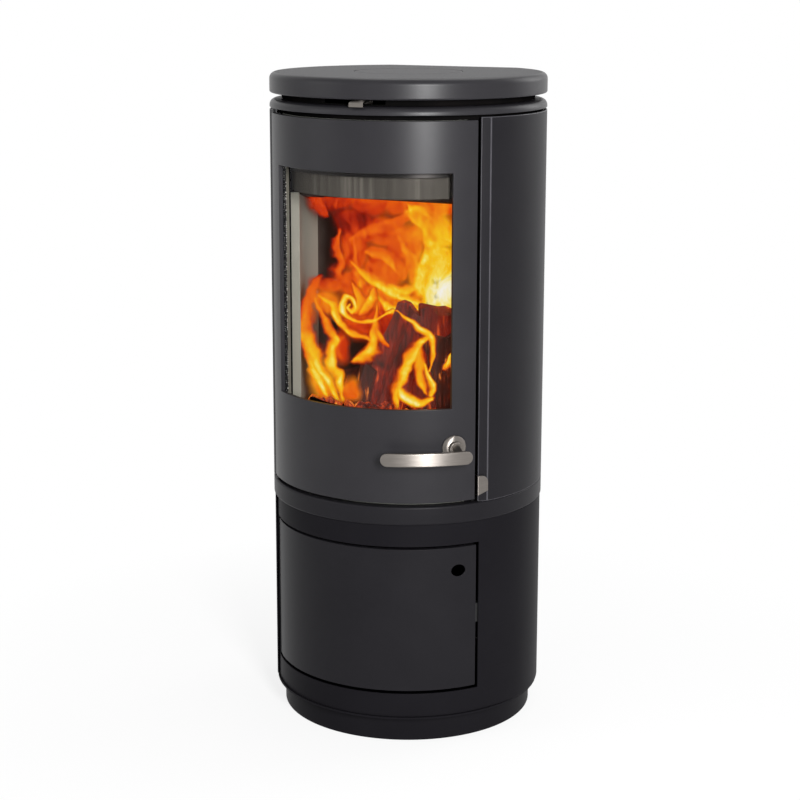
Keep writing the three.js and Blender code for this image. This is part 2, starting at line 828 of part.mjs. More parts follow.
// A wall round the sides and back, with a ledge inside that carries the floor plate.
function fireBoxShell() {
  const around = planStations(fireBoxPlan, frameHalfAngle, fullTurn - frameHalfAngle);
  const wall = sweep(rectangle(0, fireBoxWall, fireBoxBottom, fireBoxTop), around);
  const ledgeTop = floorBottom - seat;
  const ledge = sweep(
    rectangle(fireBoxWall / 2, fireBoxWall + ledgeWidth, ledgeTop - ledgeHeight, ledgeTop),
    around,
  );
  const flue = outwardRod(flueBore, -fireBoxBack - overcut, -fireBoxBack + 2 * fireBoxWall, wideRoundFacets);
  const port = outwardRod(airPortRadius, fireBoxInner - overcut, fireBoxOuter + overcut);
  port.translate(0, 0, airTabMiddle);
  return cut(join(wall, ledge), flue.translate(0, 0, flueHeight), turnTo(port, airTabAngle));
}

function fireBoxFrame() {
  const plate = arcWall(frameInner, frameOuter, fireBoxBottom, fireBoxTop, -frameHalfAngle, frameHalfAngle);
  const opening = arcWall(
    frameInner - overcut, frameOuter + overcut,
    frameOpeningBottom, frameOpeningTop,
    -frameOpeningHalfAngle, frameOpeningHalfAngle,
  );
  return cut(plate, opening);
}

function airHoleAngles() {
  return [-2, -1, 0, 1, 2].map((step) => step * airHoleStep);
}

// The lid of the fire box, with the top flue collar that reaches the top plate and the air-wash inlets.
function fireBoxLid() {
  const plan = { radius: bodyRadius, back: fireBoxBack + fireBoxTopInset, corner: backCorner };
  const edge = [[fireBoxTopInset, fireBoxLidTop], [fireBoxTopInset, fireBoxLidBottom]];
  const plate = slab(edge, planStations(plan));
  const tubeTop = topPlateUnderside - seat;
  const tube = uprightRod(topFlueBore + topFlueWall, fireBoxLidBottom, tubeTop, wideRoundFacets);
  const bore = uprightRod(topFlueBore, fireBoxLidBottom - overcut, tubeTop + overcut, wideRoundFacets);
  const inlets = airHoleAngles().map((angle) => {
    const hole = uprightRod(airHoleRadius, fireBoxLidBottom - overcut, fireBoxLidTop + overcut);
    return turnTo(hole.translate(0, -slideInnerRadius - slideWidth / 2, 0), angle);
  });
  return cut(join(plate, tube), bore, ...inlets);
}

function floorPlate() {
  const plan = insetPlan(fireBoxPlan, fireBoxWall + floorInset);
  const plate = slab([[0, floorTop], [0, floorBottom]], planStations(plan));
  const wellRadius = grateRadius - grateLedge;
  const well = uprightRod(wellRadius, floorBottom - overcut, floorTop + overcut, wideRoundFacets);
  const rebateBottom = floorTop - grateThickness - seat;
  const rebate = uprightRod(grateRadius + seat, rebateBottom, floorTop + overcut, wideRoundFacets);
  return cut(plate, well, rebate);
}

function grate() {
  const disc = uprightRod(grateRadius, 0, grateThickness, wideRoundFacets);
  const slots = [];
  for (let i = 0; i < grateSlotCount; i++) {
    const x = (i - (grateSlotCount - 1) / 2) * grateSlotPitch;
    const reach = Math.sqrt((grateRadius - grateRim) ** 2 - x ** 2);
    const half = grateSlotWidth / 2;
    slots.push(block(x - half, x + half, -reach, reach, -overcut, grateThickness + overcut));
  }
  return cut(disc, ...slots);
}

function logGuard() {
  const outer = liningInner - guardInset + guardThickness;
  const top = liningBottom + guardHeight;
  return arcWall(outer - guardThickness, outer, liningBottom, top, -guardHalfAngle, guardHalfAngle);
}

// Everything above the underside of the sloping baffle, which the tops of the linings follow.
function aboveBaffle() {
  const space = block(-bodyRadius, bodyRadius, -2 * bodyRadius, bodyRadius, -seat, fireBoxHeight);
  space.rotateX(-THREE.MathUtils.degToRad(baffleAngle));
  return space.translate(0, backLiningInner, baffleBack);
}

function curvedLining(from, to) {
  return cut(arcWall(liningInner, liningOuter, liningBottom, fireBoxTop, from, to), aboveBaffle());
}

function backLining() {
  const board = block(
    -backLiningHalfWidth, backLiningHalfWidth, backLiningInner, backLiningOuter, liningBottom, fireBoxTop,
  );
  return cut(board, aboveBaffle());
}

// A sloping plate over the linings. Its front edge is straight and stands back from the glass.
function baffle() {
  const round = uprightRod(liningOuter - baffleMargin, 0, baffleThickness, wideRoundFacets);
  const back = backLiningInner - baffleMargin;
  const middle = block(-bodyRadius, bodyRadius, baffleFront, back, -overcut, baffleThickness + overcut);
  const plate = meet(round, middle);
  plate.translate(0, -backLiningInner, 0);
  plate.rotateX(-THREE.MathUtils.degToRad(baffleAngle));
  return plate.translate(0, backLiningInner, baffleBack);
}

function airDeflector() {
  const top = fireBoxTop - deflectorTopGap;
  const far = deflectorStandOff + deflectorThickness;
  const section = [
    [seat, top],
    [seat, top - deflectorFlange],
    [deflectorStandOff, top - deflectorFlange],
    [deflectorStandOff, top - deflectorHeight],
    [far, top - deflectorHeight],
    [far, top],
  ];
  return sweep(section, arcStations(frameInner, -deflectorHalfAngle, deflectorHalfAngle));
}

function latchKeeper() {
  const outer = frameInner - seat;
  const to = frameHalfAngle - angleOf(2 * seat, outer);
  const from = to - angleOf(keeperWidth, outer);
  const half = keeperHeight / 2;
  return arcWall(outer - keeperDepth, outer, spindleHeight - half, spindleHeight + half, from, to);
}

function rearFlueSpigot() {
  const start = fireBoxBack + seat;
  const profile = [
    [flueBore, start],
    [flueFlangeRadius, start],
    [flueFlangeRadius, start + flueFlangeThickness],
    [flueBore + flueWall, start + flueFlangeThickness],
    [flueBore + flueWall, flueReach],
    [flueBore, flueReach],
  ];
  return turned(profile, wideRoundFacets);
}

function ashPan() {
  const bottom = fireBoxBottom + railHeight + seat;
  const back = panFront + panDepth;
  const half = panWidth / 2;
  const tray = block(-half, half, panFront, back, bottom, bottom + panHeight);
  const inside = block(
    -half + panWall, half - panWall, panFront + panWall, back - panWall,
    bottom + panWall, bottom + 2 * panHeight,
  );
  const gripTop = bottom + panHeight;
  const grip = block(
    -panGripWidth / 2, panGripWidth / 2, panFront - panGripReach, panFront + panWall / 2,
    gripTop - panWall, gripTop,
  );
  return join(cut(tray, inside), grip);
}

function ashPanRail(side) {
  const middle = side * railSpread;
  const half = railWidth / 2;
  return block(
    middle - half, middle + half, panFront + railMargin, panFront + panDepth - railMargin,
    fireBoxBottom, fireBoxBottom + railHeight,
  );
}

// ---------------------------------------------------------------- stove door

function doorLeaf() {
  const leaf = arcWall(doorInner, doorOuter, doorBottom, doorTop, -doorHalfAngle, doorHalfAngle);
  const stileEnd = -doorHalfAngle + angleOf(hingeStileWidth, doorInner);
  const stile = arcWall(stileInner, doorInner + 1, doorBottom, doorTop, -doorHalfAngle, stileEnd);
  const window = arcWall(
    doorInner - overcut, doorOuter + overcut, windowBottom, windowTop, -windowHalfAngle, windowHalfAngle,
  );
  const spindleHole = outwardRod(spindleRadius + pinClearance, doorInner - overcut, doorOuter + overcut);
  const axis = polar(hingeRadius, hingeAngle);
  const holeRadius = hingePinRadius + pinClearance;
  const lowHole = uprightRod(holeRadius, doorBottom - overcut, doorBottom + hingePinGrip + seat);
  const highHole = uprightRod(holeRadius, doorTop - hingePinGrip - seat, doorTop + overcut);
  return cut(
    join(leaf, stile),
    window,
    turnTo(spindleHole.translate(0, 0, spindleHeight), spindleAngle),
    lowHole.translate(axis.x, axis.y, 0),
    highHole.translate(axis.x, axis.y, 0),
  );
}

// A frame of even width that follows the door's curve.
function curvedFrame(inner, outer, bottom, top, halfAngle, width) {
  const sideWidth = angleOf(width, outer);
  const whole = arcWall(inner, outer, bottom, top, -halfAngle, halfAngle);
  const middle = arcWall(
    inner - overcut, outer + overcut,
    bottom + width, top - width,
    -halfAngle + sideWidth, halfAngle - sideWidth,
  );
  return cut(whole, middle);
}

function doorSeal() {
  const halfAngle = doorHalfAngle - angleOf(sealSideMargin, doorOuter);
  const bottom = doorBottom + sealEndMargin;
  const top = doorTop - sealEndMargin;
  return curvedFrame(sealInner, sealOuter, bottom, top, halfAngle, sealWidth);
}

function glassRope() {
  const outer = doorInner - seat;
  const width = glassLap + glassRopeReveal;
  return curvedFrame(outer - glassRopeDepth, outer, glassBottom, glassTop, glassHalfAngle, width);
}

function doorGlass() {
  return arcWall(glassInner, glassOuter, glassBottom, glassTop, -glassHalfAngle, glassHalfAngle);
}

// A clamp strip with a foot on the leaf. Side is 1 above the glass, -1 below it.
function glassRetainer(side) {
  const glassEnd = side > 0 ? glassTop : glassBottom;
  const lapEnd = glassEnd - side * retainerLap;
  const farEnd = lapEnd + side * retainerHeight;
  const footStart = glassEnd + side * 2 * seat;
  const back = glassInner - seat;
  const insetOf = (radius) => doorInner - radius;
  const section = [
    [insetOf(back), lapEnd],
    [insetOf(back), footStart],
    [seat, footStart],
    [seat, farEnd],
    [insetOf(back - retainerThickness), farEnd],
    [insetOf(back - retainerThickness), lapEnd],
  ];
  return sweep(section, arcStations(doorInner, -retainerHalfAngle, retainerHalfAngle));
}

// A pin with a shoulder that fills the gap beside the door. Side is 1 above the door, -1 below it.
function doorHingePin(side) {
  const doorEnd = side > 0 ? doorTop : doorBottom;
  const bodyFace = side > 0 ? collarBottom : deckTop;
  const heights = [
    doorEnd - side * hingePinGrip,
    doorEnd + side * seat,
    bodyFace - side * seat,
    bodyFace + side * hingePinRoot,
  ];
  const shank = uprightRodBetween(hingePinRadius, heights[0], heights[3]);
  return join(shank, uprightRodBetween(hingeShoulderRadius, heights[1], heights[2]));
}

// ---------------------------------------------------------------- handle, in a group turned to its angle

function handleRosette() {
  const base = -doorOuter - seat;
  const bore = spindleRadius + pinClearance;
  const profile = [
    [bore, base],
    [rosetteRadius, base],
    [rosetteRadius, base - rosetteHeight * 0.25],
    [rosetteRadius * 0.92, base - rosetteHeight * 0.6],
    [rosetteRadius * 0.72, base - rosetteHeight * 0.9],
    [rosetteRadius * 0.5, base - rosetteHeight],
    [bore, base - rosetteHeight],
  ];
  return turned(profile.reverse(), 28);
}

function handleHubStart() {
  return doorOuter + seat + rosetteHeight + seat;
}

function handleSpindle() {
  return outwardRod(spindleRadius, spindleInner, handleHubStart() - seat);
}

// The hub on the spindle, a shank that slants down and outwards, and a flat bar bowed like the door.
function handleLever() {
  const hubStart = handleHubStart();
  const hub = outwardRod(hubRadius, hubStart, hubStart + hubHeight);
  const barOuter = barInner + barThickness;
  const barMiddle = barInner + barThickness / 2;
  const shankStart = new THREE.Vector3(0, -(hubStart + hubHeight / 2), 0);
  const shankEnd = new THREE.Vector3(0, -barMiddle, -barDrop);
  const run = shankEnd.clone().sub(shankStart);
  const shank = new THREE.CylinderGeometry(shankRadius, shankRadius, run.length(), roundFacets);
  const lean = new THREE.Quaternion().setFromUnitVectors(new THREE.Vector3(0, 1, 0), run.clone().normalize());
  const middle = shankStart.clone().add(shankEnd).multiplyScalar(0.5);
  shank.applyQuaternion(lean).translate(middle.x, middle.y, middle.z);
  const face = extrudeOut(stadium(barLength, barHeight), barInner - barLength / 2, barOuter + barLength / 2);
  const reach = angleOf(barLength / 2, barMiddle) + facetAngle;
  const curve = arcWall(barInner, barOuter, -barHeight, barHeight, -reach, reach);
  const bar = turnTo(meet(face, curve), angleOf(barOffset, barMiddle)).translate(0, 0, -barDrop);
  return join(hub, shank, bar);
}

// A hook-shaped cam on the inner end of the spindle.
function latchCam() {
  const start = spindleInner + seat;
  const plate = outwardRod(camHubRadius, start, start + camThickness);
  const half = camArmWidth / 2;
  const arm = block(-half, half, -start - camThickness, -start, -camArmLength, 0);
  const nose = block(
    -half, camNoseReach, -start - camThickness, -start, -camArmLength, -camArmLength + camArmWidth,
  );
  const bore = outwardRod(spindleRadius + pinClearance / 2, start - overcut, start + camThickness + overcut);
  return cut(join(plate, arm, nose), bore);
}

// ---------------------------------------------------------------- air controls

function airWashSlide() {
  const bottom = fireBoxLidTop + seat;
  return arcWall(
    slideInnerRadius, slideInnerRadius + slideWidth, bottom, bottom + slideThickness,
    -slideHalfAngle, slideHalfAngle,
  );
}

// A strip on the slide that rises, goes out through the neck and ends in a turned-down lip.
function airWashLever() {
  const half = leverThickness / 2;
  const low = fireBoxLidTop + seat + slideThickness + seat + half;
  const high = topPlateBottom - neckReveal / 3 - half / 2;
  const tip = bodyRadius + leverTipReach - half;
  const line = [
    new THREE.Vector2(slideInnerRadius + 4, low),
    new THREE.Vector2(leverRiseRadius, low),
    new THREE.Vector2(leverRiseRadius, high),
    new THREE.Vector2(bodyRadius - neckInset + 4, high),
    new THREE.Vector2(tip, high - leverDrop),
    new THREE.Vector2(tip, high - leverDrop - leverLipHeight + half),
  ];
  const options = { depth: leverWidth, bevelEnabled: false };
  const strip = new THREE.ExtrudeGeometry(stripOutline(line, leverThickness), options);
  strip.translate(0, 0, -leverWidth / 2).rotateX(Math.PI / 2).rotateZ(-Math.PI / 2);
  return strip;
}

// A blade through the gap beside the door, bent to the right into a thumb tab with round corners.
function primaryAirTab() {
  const half = airTabHeight / 2;
  const face = bodyRadius + airTabStandOff;
  const left = -airTabThickness / 2;
  const right = left + airTabWidth;
  const shape = new THREE.Shape();
  shape.moveTo(left, -half);
  shape.lineTo(right - airTabCorner, -half);
  shape.absarc(right - airTabCorner, -half + airTabCorner, airTabCorner, -Math.PI / 2, 0);
  shape.absarc(right - airTabCorner, half - airTabCorner, airTabCorner, 0, Math.PI / 2);
  shape.lineTo(left, half);
  const tab = extrudeOut(shape, face, face + airTabThickness);
  const bladeInner = fireBoxOuter + 2 * seat + airValveThickness;
  const blade = block(
    left, left + airTabThickness, -face - airTabThickness / 2, -bladeInner, -half, half,
  );
  return join(tab, blade);
}

function primaryAirValve() {
  const inner = fireBoxOuter + seat;
  const half = airValveWidth / 2;
  return block(-half, half, -inner - airValveThickness, -inner, -airValveHeight / 2, airValveHeight / 2);
}

// The rest that the blade slides on.
function primaryAirRest() {
  const top = airTabMiddle - airTabHeight / 2 - seat;
  const outer = doorInner - airRestDoorGap;
  const half = airRestWidth / 2;
  return block(-half, half, -outer, -outer + airRestDepth, fireBoxBottom, top);
}

// ---------------------------------------------------------------- assembly

const stove = new THREE.Group();

addPiece(stove, 'plinth', plinth(), paintedSheet);
addPiece(stove, 'base_plate', basePlate(), paintedSheet);
addPiece(stove, 'pedestal_shell', pedestalShell(), paintedSheet);
addPiece(stove, 'pedestal_hinge_lower', pedestalHinge(-1), bareSteel);
addPiece(stove, 'pedestal_hinge_upper', pedestalHinge(1), bareSteel);
addPiece(stove, 'pedestal_magnet', pedestalMagnet(), magnetBlack);
addPiece(stove, 'pedestal_door', pedestalDoor(), paintedSheet);

addPiece(stove, 'base_ring', baseRing(), paintedCast);
addPiece(stove, 'side_panel_right', sidePanel(), paintedCast);
addPiece(stove, 'side_panel_left', mirrored(sidePanel()), paintedCast);
addPiece(stove, 'rear_panel', rearPanel(), paintedSheet);
screwSpots().forEach(([x, z], i) => {
  const screw = addPiece(stove, `rear_panel_screw_${i + 1}`, rearScrew(), bareSteel);
  screw.position.set(x, 0, z);
});
addPiece(stove, 'collar', collar(), paintedCast);
addPiece(stove, 'neck', neck(), darkCast);
addPiece(stove, 'top_plate', topPlate(), paintedCast);
const lid = addPiece(stove, 'flue_lid', flueLid(), paintedCast);
lid.position.z = topPlateTop;

addPiece(stove, 'fire_box_shell', fireBoxShell(), darkCast);
addPiece(stove, 'fire_box_frame', fireBoxFrame(), darkCast);
addPiece(stove, 'fire_box_lid', fireBoxLid(), darkCast);
addPiece(stove, 'floor_plate', floorPlate(), darkCast);
const grateMesh = addPiece(stove, 'grate', grate(), darkCast);
grateMesh.position.z = floorTop - grateThickness;
addPiece(stove, 'log_guard', logGuard(), darkCast);
addPiece(stove, 'lining_right', curvedLining(sideLiningStartAngle, sideLiningEndAngle), liningBoard);
addPiece(stove, 'lining_left', curvedLining(-sideLiningEndAngle, -sideLiningStartAngle), liningBoard);
const cornerStart = sideLiningEndAngle + angleOf(seat, liningInner);
addPiece(stove, 'lining_corner_right', curvedLining(cornerStart, cornerLiningEnd), liningBoard);
addPiece(stove, 'lining_corner_left', curvedLining(-cornerLiningEnd, -cornerStart), liningBoard);
addPiece(stove, 'lining_back', backLining(), liningBoard);
addPiece(stove, 'baffle', baffle(), liningBoard);
addPiece(stove, 'air_deflector', airDeflector(), bareSteel);
addPiece(stove, 'latch_keeper', latchKeeper(), bareSteel);
const spigot = addPiece(stove, 'rear_flue_spigot', rearFlueSpigot(), darkCast);
spigot.position.z = flueHeight;
addPiece(stove, 'ash_pan', ashPan(), bareSteel);
addPiece(stove, 'ash_pan_rail_left', ashPanRail(-1), bareSteel);
addPiece(stove, 'ash_pan_rail_right', ashPanRail(1), bareSteel);

const doorGroup = new THREE.Group();
stove.add(doorGroup);
addPiece(doorGroup, 'door_leaf', doorLeaf(), paintedCast);
addPiece(doorGroup, 'door_glass', doorGlass(), ceramicGlass);
addPiece(doorGroup, 'glass_rope', glassRope(), knittedRope);
addPiece(doorGroup, 'door_seal', doorSeal(), knittedRope);
addPiece(doorGroup, 'glass_retainer_upper', glassRetainer(1), bareSteel);
addPiece(doorGroup, 'glass_retainer_lower', glassRetainer(-1), bareSteel);
placeAt(addPiece(stove, 'door_hinge_pin_lower', doorHingePin(-1), bareSteel), hingeRadius, hingeAngle, 0);
placeAt(addPiece(stove, 'door_hinge_pin_upper', doorHingePin(1), bareSteel), hingeRadius, hingeAngle, 0);

const handleGroup = new THREE.Group();
handleGroup.position.z = spindleHeight;
handleGroup.rotation.z = THREE.MathUtils.degToRad(spindleAngle);
doorGroup.add(handleGroup);
addPiece(handleGroup, 'handle_rosette', handleRosette(), brushedStainless);
addPiece(handleGroup, 'handle_spindle', handleSpindle(), bareSteel);
addPiece(handleGroup, 'handle_lever', handleLever(), brushedStainless);
addPiece(handleGroup, 'latch_cam', latchCam(), bareSteel);

const leverGroup = new THREE.Group();
leverGroup.rotation.z = THREE.MathUtils.degToRad(leverAngle);
stove.add(leverGroup);
addPiece(leverGroup, 'air_wash_slide', airWashSlide(), bareSteel);
addPiece(leverGroup, 'air_wash_lever', airWashLever(), brushedStainless);

const airTabGroup = new THREE.Group();
airTabGroup.rotation.z = THREE.MathUtils.degToRad(airTabAngle);
stove.add(airTabGroup);
addPiece(airTabGroup, 'primary_air_tab', primaryAirTab(), brushedStainless).position.z = airTabMiddle;
addPiece(airTabGroup, 'primary_air_valve', primaryAirValve(), bareSteel).position.z = airTabMiddle;
addPiece(airTabGroup, 'primary_air_rest', primaryAirRest(), bareSteel);

export default stove;
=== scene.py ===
import json
import math
import random

import bmesh
import bpy
import numpy
from mathutils import Matrix, Vector


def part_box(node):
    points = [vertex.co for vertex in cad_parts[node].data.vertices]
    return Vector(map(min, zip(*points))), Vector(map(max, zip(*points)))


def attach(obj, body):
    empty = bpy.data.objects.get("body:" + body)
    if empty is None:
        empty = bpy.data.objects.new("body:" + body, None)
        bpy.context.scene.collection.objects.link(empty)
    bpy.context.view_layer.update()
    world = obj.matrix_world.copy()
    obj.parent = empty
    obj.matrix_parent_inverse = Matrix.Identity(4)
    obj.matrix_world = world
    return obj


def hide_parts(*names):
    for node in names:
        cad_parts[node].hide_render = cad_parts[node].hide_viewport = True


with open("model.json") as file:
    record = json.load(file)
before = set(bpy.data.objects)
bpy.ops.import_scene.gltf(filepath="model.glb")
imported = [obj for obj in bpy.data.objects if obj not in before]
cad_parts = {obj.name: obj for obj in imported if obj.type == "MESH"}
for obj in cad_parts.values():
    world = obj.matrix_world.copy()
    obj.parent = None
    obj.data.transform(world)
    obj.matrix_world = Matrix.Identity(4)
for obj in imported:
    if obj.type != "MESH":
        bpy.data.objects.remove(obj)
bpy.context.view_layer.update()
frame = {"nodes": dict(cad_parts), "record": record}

up = Vector((0, 0, 1))


# small tools for materials

def hexToLinear(text):
    values = [int(text[i:i + 2], 16) / 255 for i in (1, 3, 5)]
    linear = [v / 12.92 if v <= 0.04045 else ((v + 0.055) / 1.055) ** 2.4 for v in values]
    return (*linear, 1.0)


def addNode(tree, kind, inputs=None, **settings):
    made = tree.nodes.new(kind)
    for key, value in settings.items():
        setattr(made, key, value)
    for key, value in (inputs or {}).items():
        if isinstance(value, bpy.types.NodeSocket):
            tree.links.new(value, made.inputs[key])
        else:
            made.inputs[key].default_value = value
    return made


def newMaterial(name):
    material = bpy.data.materials.new(name)
    material.use_nodes = True
    material.node_tree.nodes.clear()
    return material, material.node_tree


def closeMaterial(material, surface):
    addNode(material.node_tree, "ShaderNodeOutputMaterial", {"Surface": surface})
    return material


def solidMaterial(material, inputs):
    skin = addNode(material.node_tree, "ShaderNodeBsdfPrincipled", inputs)
    return closeMaterial(material, skin.outputs["BSDF"])


def placedSpot(tree, scale=(1, 1, 1), location=(0, 0, 0), rotation=(0, 0, 0)):
    spot = addNode(tree, "ShaderNodeTexCoord").outputs["Object"]
    return addNode(tree, "ShaderNodeMapping", {
        "Vector": spot, "Location": location, "Rotation": rotation, "Scale": scale,
    }).outputs["Vector"]


def noiseAt(tree, spot, scale, detail=2.0, rough=0.5, bend=0.0):
    return addNode(tree, "ShaderNodeTexNoise", {
        "Vector": spot, "Scale": scale, "Detail": detail, "Roughness": rough, "Distortion": bend,
    }).outputs["Fac"]


def flakesAt(tree, spot, scale, uneven=1.0):
    return addNode(tree, "ShaderNodeTexVoronoi", {
        "Vector": spot, "Scale": scale, "Randomness": uneven}).outputs["Distance"]


def mathOn(tree, operation, first, second):
    return addNode(tree, "ShaderNodeMath", {0: first, 1: second}, operation=operation).outputs[0]


def rangeOn(tree, value, taken, given):
    # carries what lies between the two of taken over to between the two of given
    return addNode(tree, "ShaderNodeMapRange", {
        "Value": value, "From Min": taken[0], "From Max": taken[1], "To Min": given[0], "To Max": given[1],
    }).outputs["Result"]


def toneOn(tree, value, stops):
    # the first and the last stop use the ramp's own two, and those between are added
    ramp = addNode(tree, "ShaderNodeValToRGB", {"Fac": value})
    elements = ramp.color_ramp.elements
    stops = [(position, hexToLinear(color)) for position, color in stops]
    for position, color in stops[1:-1]:
        elements.new(position).color = color
    elements[0].position, elements[0].color = stops[0]
    elements[-1].position, elements[-1].color = stops[-1]
    return ramp.outputs["Color"]


def reliefOn(tree, height, strength, distance, **settings):
    return addNode(tree, "ShaderNodeBump", {
        "Height": height, "Strength": strength, "Distance": distance}, **settings).outputs["Normal"]


def mixOn(tree, share, first, second):
    return addNode(tree, "ShaderNodeMixShader", {0: share, 1: first, 2: second}).outputs["Shader"]


# painted surfaces: stove paint sprayed on castings and on sheet, baked to a soft satin

def stovePaint(name, base, light, rough, grain, grainDepth, mottle, gloss):
    material, tree = newMaterial(name)
    spot = placedSpot(tree)
    cloud = noiseAt(tree, spot, mottle, 4.0)
    fine = noiseAt(tree, spot, grain, 3.0, 0.6)
    return solidMaterial(material, {
        "Base Color": toneOn(tree, cloud, [(0.3, base), (0.75, light)]),
        "Roughness": rangeOn(tree, fine, (0.25, 0.75), (rough - 0.05, rough + 0.07)),
        "Normal": reliefOn(tree, fine, 0.5, grainDepth), "IOR": 1.5, "Specular IOR Level": gloss,
    })


paints = {
    # darker and lighter colour, roughness, grains in a metre, their depth, clouds in a metre, gloss.
    # the sand grain of a casting is 1.1 mm, or 1.4 mm where soot or heat has coarsened it,
    # and the paint on a rolled panel is 0.8 mm and on sheet 0.7 mm
    "stove paint on cast iron": ("#1e1d20", "#222124", 0.35, 900.0, 0.00012, 14.0, 0.2),
    # the panel and sheet paints are darker copies of the cast paint: painted shade on the side panels, base
    # rim, log door, pedestal wall and plinth
    "stove paint on a rolled panel, darkened as painted shade": ("#161518", "#19181b", 0.40, 1200.0, 0.00006, 11.0, 0.09),
    "stove paint on steel sheet, darkened as painted shade": ("#131215", "#161518", 0.45, 1500.0, 0.00005, 9.0, 0.03),
    "smoked cast iron": ("#090909", "#110f0f", 0.8, 700.0, 0.0002, 22.0, 0.0),
    # lighter paint for bevelled edges: a painted highlight where an edge would catch the light
    "stove paint lightened as a painted edge highlight": ("#38373b", "#434246", 0.34, 1200.0, 0.00004, 40.0, 0.2),
    "heat-greyed cast iron": ("#6b6c66", "#7c7d77", 0.7, 700.0, 0.0002, 16.0, 0.1),
    "heat-dulled stove paint": ("#1e1d20", "#222124", 0.35, 900.0, 0.00012, 14.0, 0.03),
}
castPaint, panelPaintShaded, sheetPaintShaded, innerPaint, edgeHighlightPaint, greyedPaint, dulledPaint = (
    stovePaint(name, *look) for name, look in paints.items())


def brushedMetal(name, base, light, rough, stretch, depth):
    # drawn coarser than real scratches, which would not show: stretch is their lines in a metre on each axis
    material, tree = newMaterial(name)
    lines = noiseAt(tree, placedSpot(tree, scale=stretch), 1.0, 5.0)
    around = addNode(tree, "ShaderNodeTangent", direction_type="RADIAL", axis="Z")
    return solidMaterial(material, {
        "Base Color": toneOn(tree, lines, [(0.3, base), (0.7, light)]), "Metallic": 1.0,
        "Roughness": rangeOn(tree, lines, (0.3, 0.7), (rough - 0.06, rough + 0.08)),
        "Normal": reliefOn(tree, lines, 0.35, depth),
        "Anisotropic": 0.85, "Anisotropic Rotation": 0.25, "Tangent": around.outputs["Tangent"],
    })


# stainless is brushed along the bar, 0.6 mm a line, and the light runs in soft streaks.
# steel that heat has darkened has no lay, only mottling 2.5 mm across.
stainless = brushedMetal("brushed stainless steel", "#76716c", "#857f7a", 0.38, (40, 40, 1800), 0.000004)
plainSteel = brushedMetal("heat-darkened steel", "#29292a", "#3a3a3b", 0.45, (400, 400, 400), 0.00002)


def knittedRope(name):
    # black glass-fibre rope with pale stitches 3 mm apart
    material, tree = newMaterial(name)
    stitches = flakesAt(tree, placedSpot(tree), 330.0, 0.35)
    return solidMaterial(material, {
        "Base Color": toneOn(tree, stitches, [(0.20, "#e6e6e2"), (0.34, "#0d0d0e")]),
        "Roughness": 0.95, "Specular IOR Level": 0.2,
        "Normal": reliefOn(tree, stitches, 0.8, 0.0006, invert=True),
    })


ropeKnit = knittedRope("knitted glass-fibre rope")


def insulatingBoard(name, clean, smoked, smokeLevel):
    # pressed vermiculite: pale flakes of 2 to 3 mm, smoked darker in clouds
    material, tree = newMaterial(name)
    spot = placedSpot(tree)
    smoke = rangeOn(tree, noiseAt(tree, spot, 9.0, 5.0), (0.3, 0.7), (smokeLevel - 0.2, smokeLevel + 0.2))
    tone = addNode(tree, "ShaderNodeMix", {
        "Factor": smoke, "A": hexToLinear(clean), "B": hexToLinear(smoked)}, data_type="RGBA")
    return solidMaterial(material, {
        "Base Color": tone.outputs["Result"], "Roughness": 0.9,
        "Normal": reliefOn(tree, flakesAt(tree, spot, 420.0), 0.5, 0.0004),
    })


paleBoard = insulatingBoard("vermiculite board", "#92958e", "#7a7d76", 0.3)
# a darker copy of the board for the corner and back linings: painted shade where they face away from the
# light
shadedBoard = insulatingBoard("vermiculite board darkened as painted shade", "#4a3f38", "#191513", 0.6)


def ceramicGlass(name):
    # clear ceramic glass: a faint warm tint, and a mirror gloss on its near face only
    material, tree = newMaterial(name)
    clear = addNode(tree, "ShaderNodeBsdfTransparent", {"Color": hexToLinear("#faf8f6")})
    mirror = addNode(tree, "ShaderNodeBsdfGlossy", {"Color": hexToLinear("#6a6a6c"), "Roughness": 0.04})
    gloss = addNode(tree, "ShaderNodeFresnel", {"IOR": 1.4}).outputs["Fac"]
    far = addNode(tree, "ShaderNodeNewGeometry").outputs["Backfacing"]
    share = mathOn(tree, "MULTIPLY", gloss, mathOn(tree, "SUBTRACT", 1.0, far))
    return closeMaterial(material, mixOn(tree, share, clear.outputs["BSDF"], mirror.outputs["BSDF"]))


glassSheet = ceramicGlass("ceramic glass")


def streakedSteel(name):
    # bare steel that heat has greyed, wiped in upright streaks
    material, tree = newMaterial(name)
    lines = noiseAt(tree, placedSpot(tree, scale=(120, 120, 3)), 1.0, 4.0)
    return solidMaterial(material, {
        "Base Color": toneOn(tree, lines, [(0.35, "#33322f"), (0.55, "#403f3c"), (0.75, "#5c5b57")]),
        "Roughness": 0.6, "Specular IOR Level": 0.2,
    })


deflectorSteel = streakedSteel("heat-greyed steel")


def mouldedPlastic(name, color):
    # moulded in a tool with a fine matt texture, about 0.5 mm
    material, tree = newMaterial(name)
    fine = noiseAt(tree, placedSpot(tree), 1800.0)
    return solidMaterial(material, {
        "Base Color": hexToLinear(color), "Roughness": 0.5, "Normal": reliefOn(tree, fine, 0.3, 0.00005)})


magnetHousing = mouldedPlastic("moulded magnet housing", "#0b0b0c")

slotMaterials = {
    "painted_cast": castPaint,
    "painted_sheet": sheetPaintShaded,
    "dark_cast": innerPaint,
    "bare_steel": plainSteel,
    "brushed_stainless": stainless,
    "ceramic_glass": glassSheet,
    "knitted_rope": ropeKnit,
    "lining_board": shadedBoard,
    "magnet_black": magnetHousing,
}
for part in frame["record"]["subparts"]:
    node = frame["nodes"][part["node"]]
    node.data.materials.clear()
    node.data.materials.append(slotMaterials[part["material_slot"]])
frame["nodes"]["fire_box_frame"].data.materials[0] = greyedPaint
print("materials are ready")


# small tools for meshes

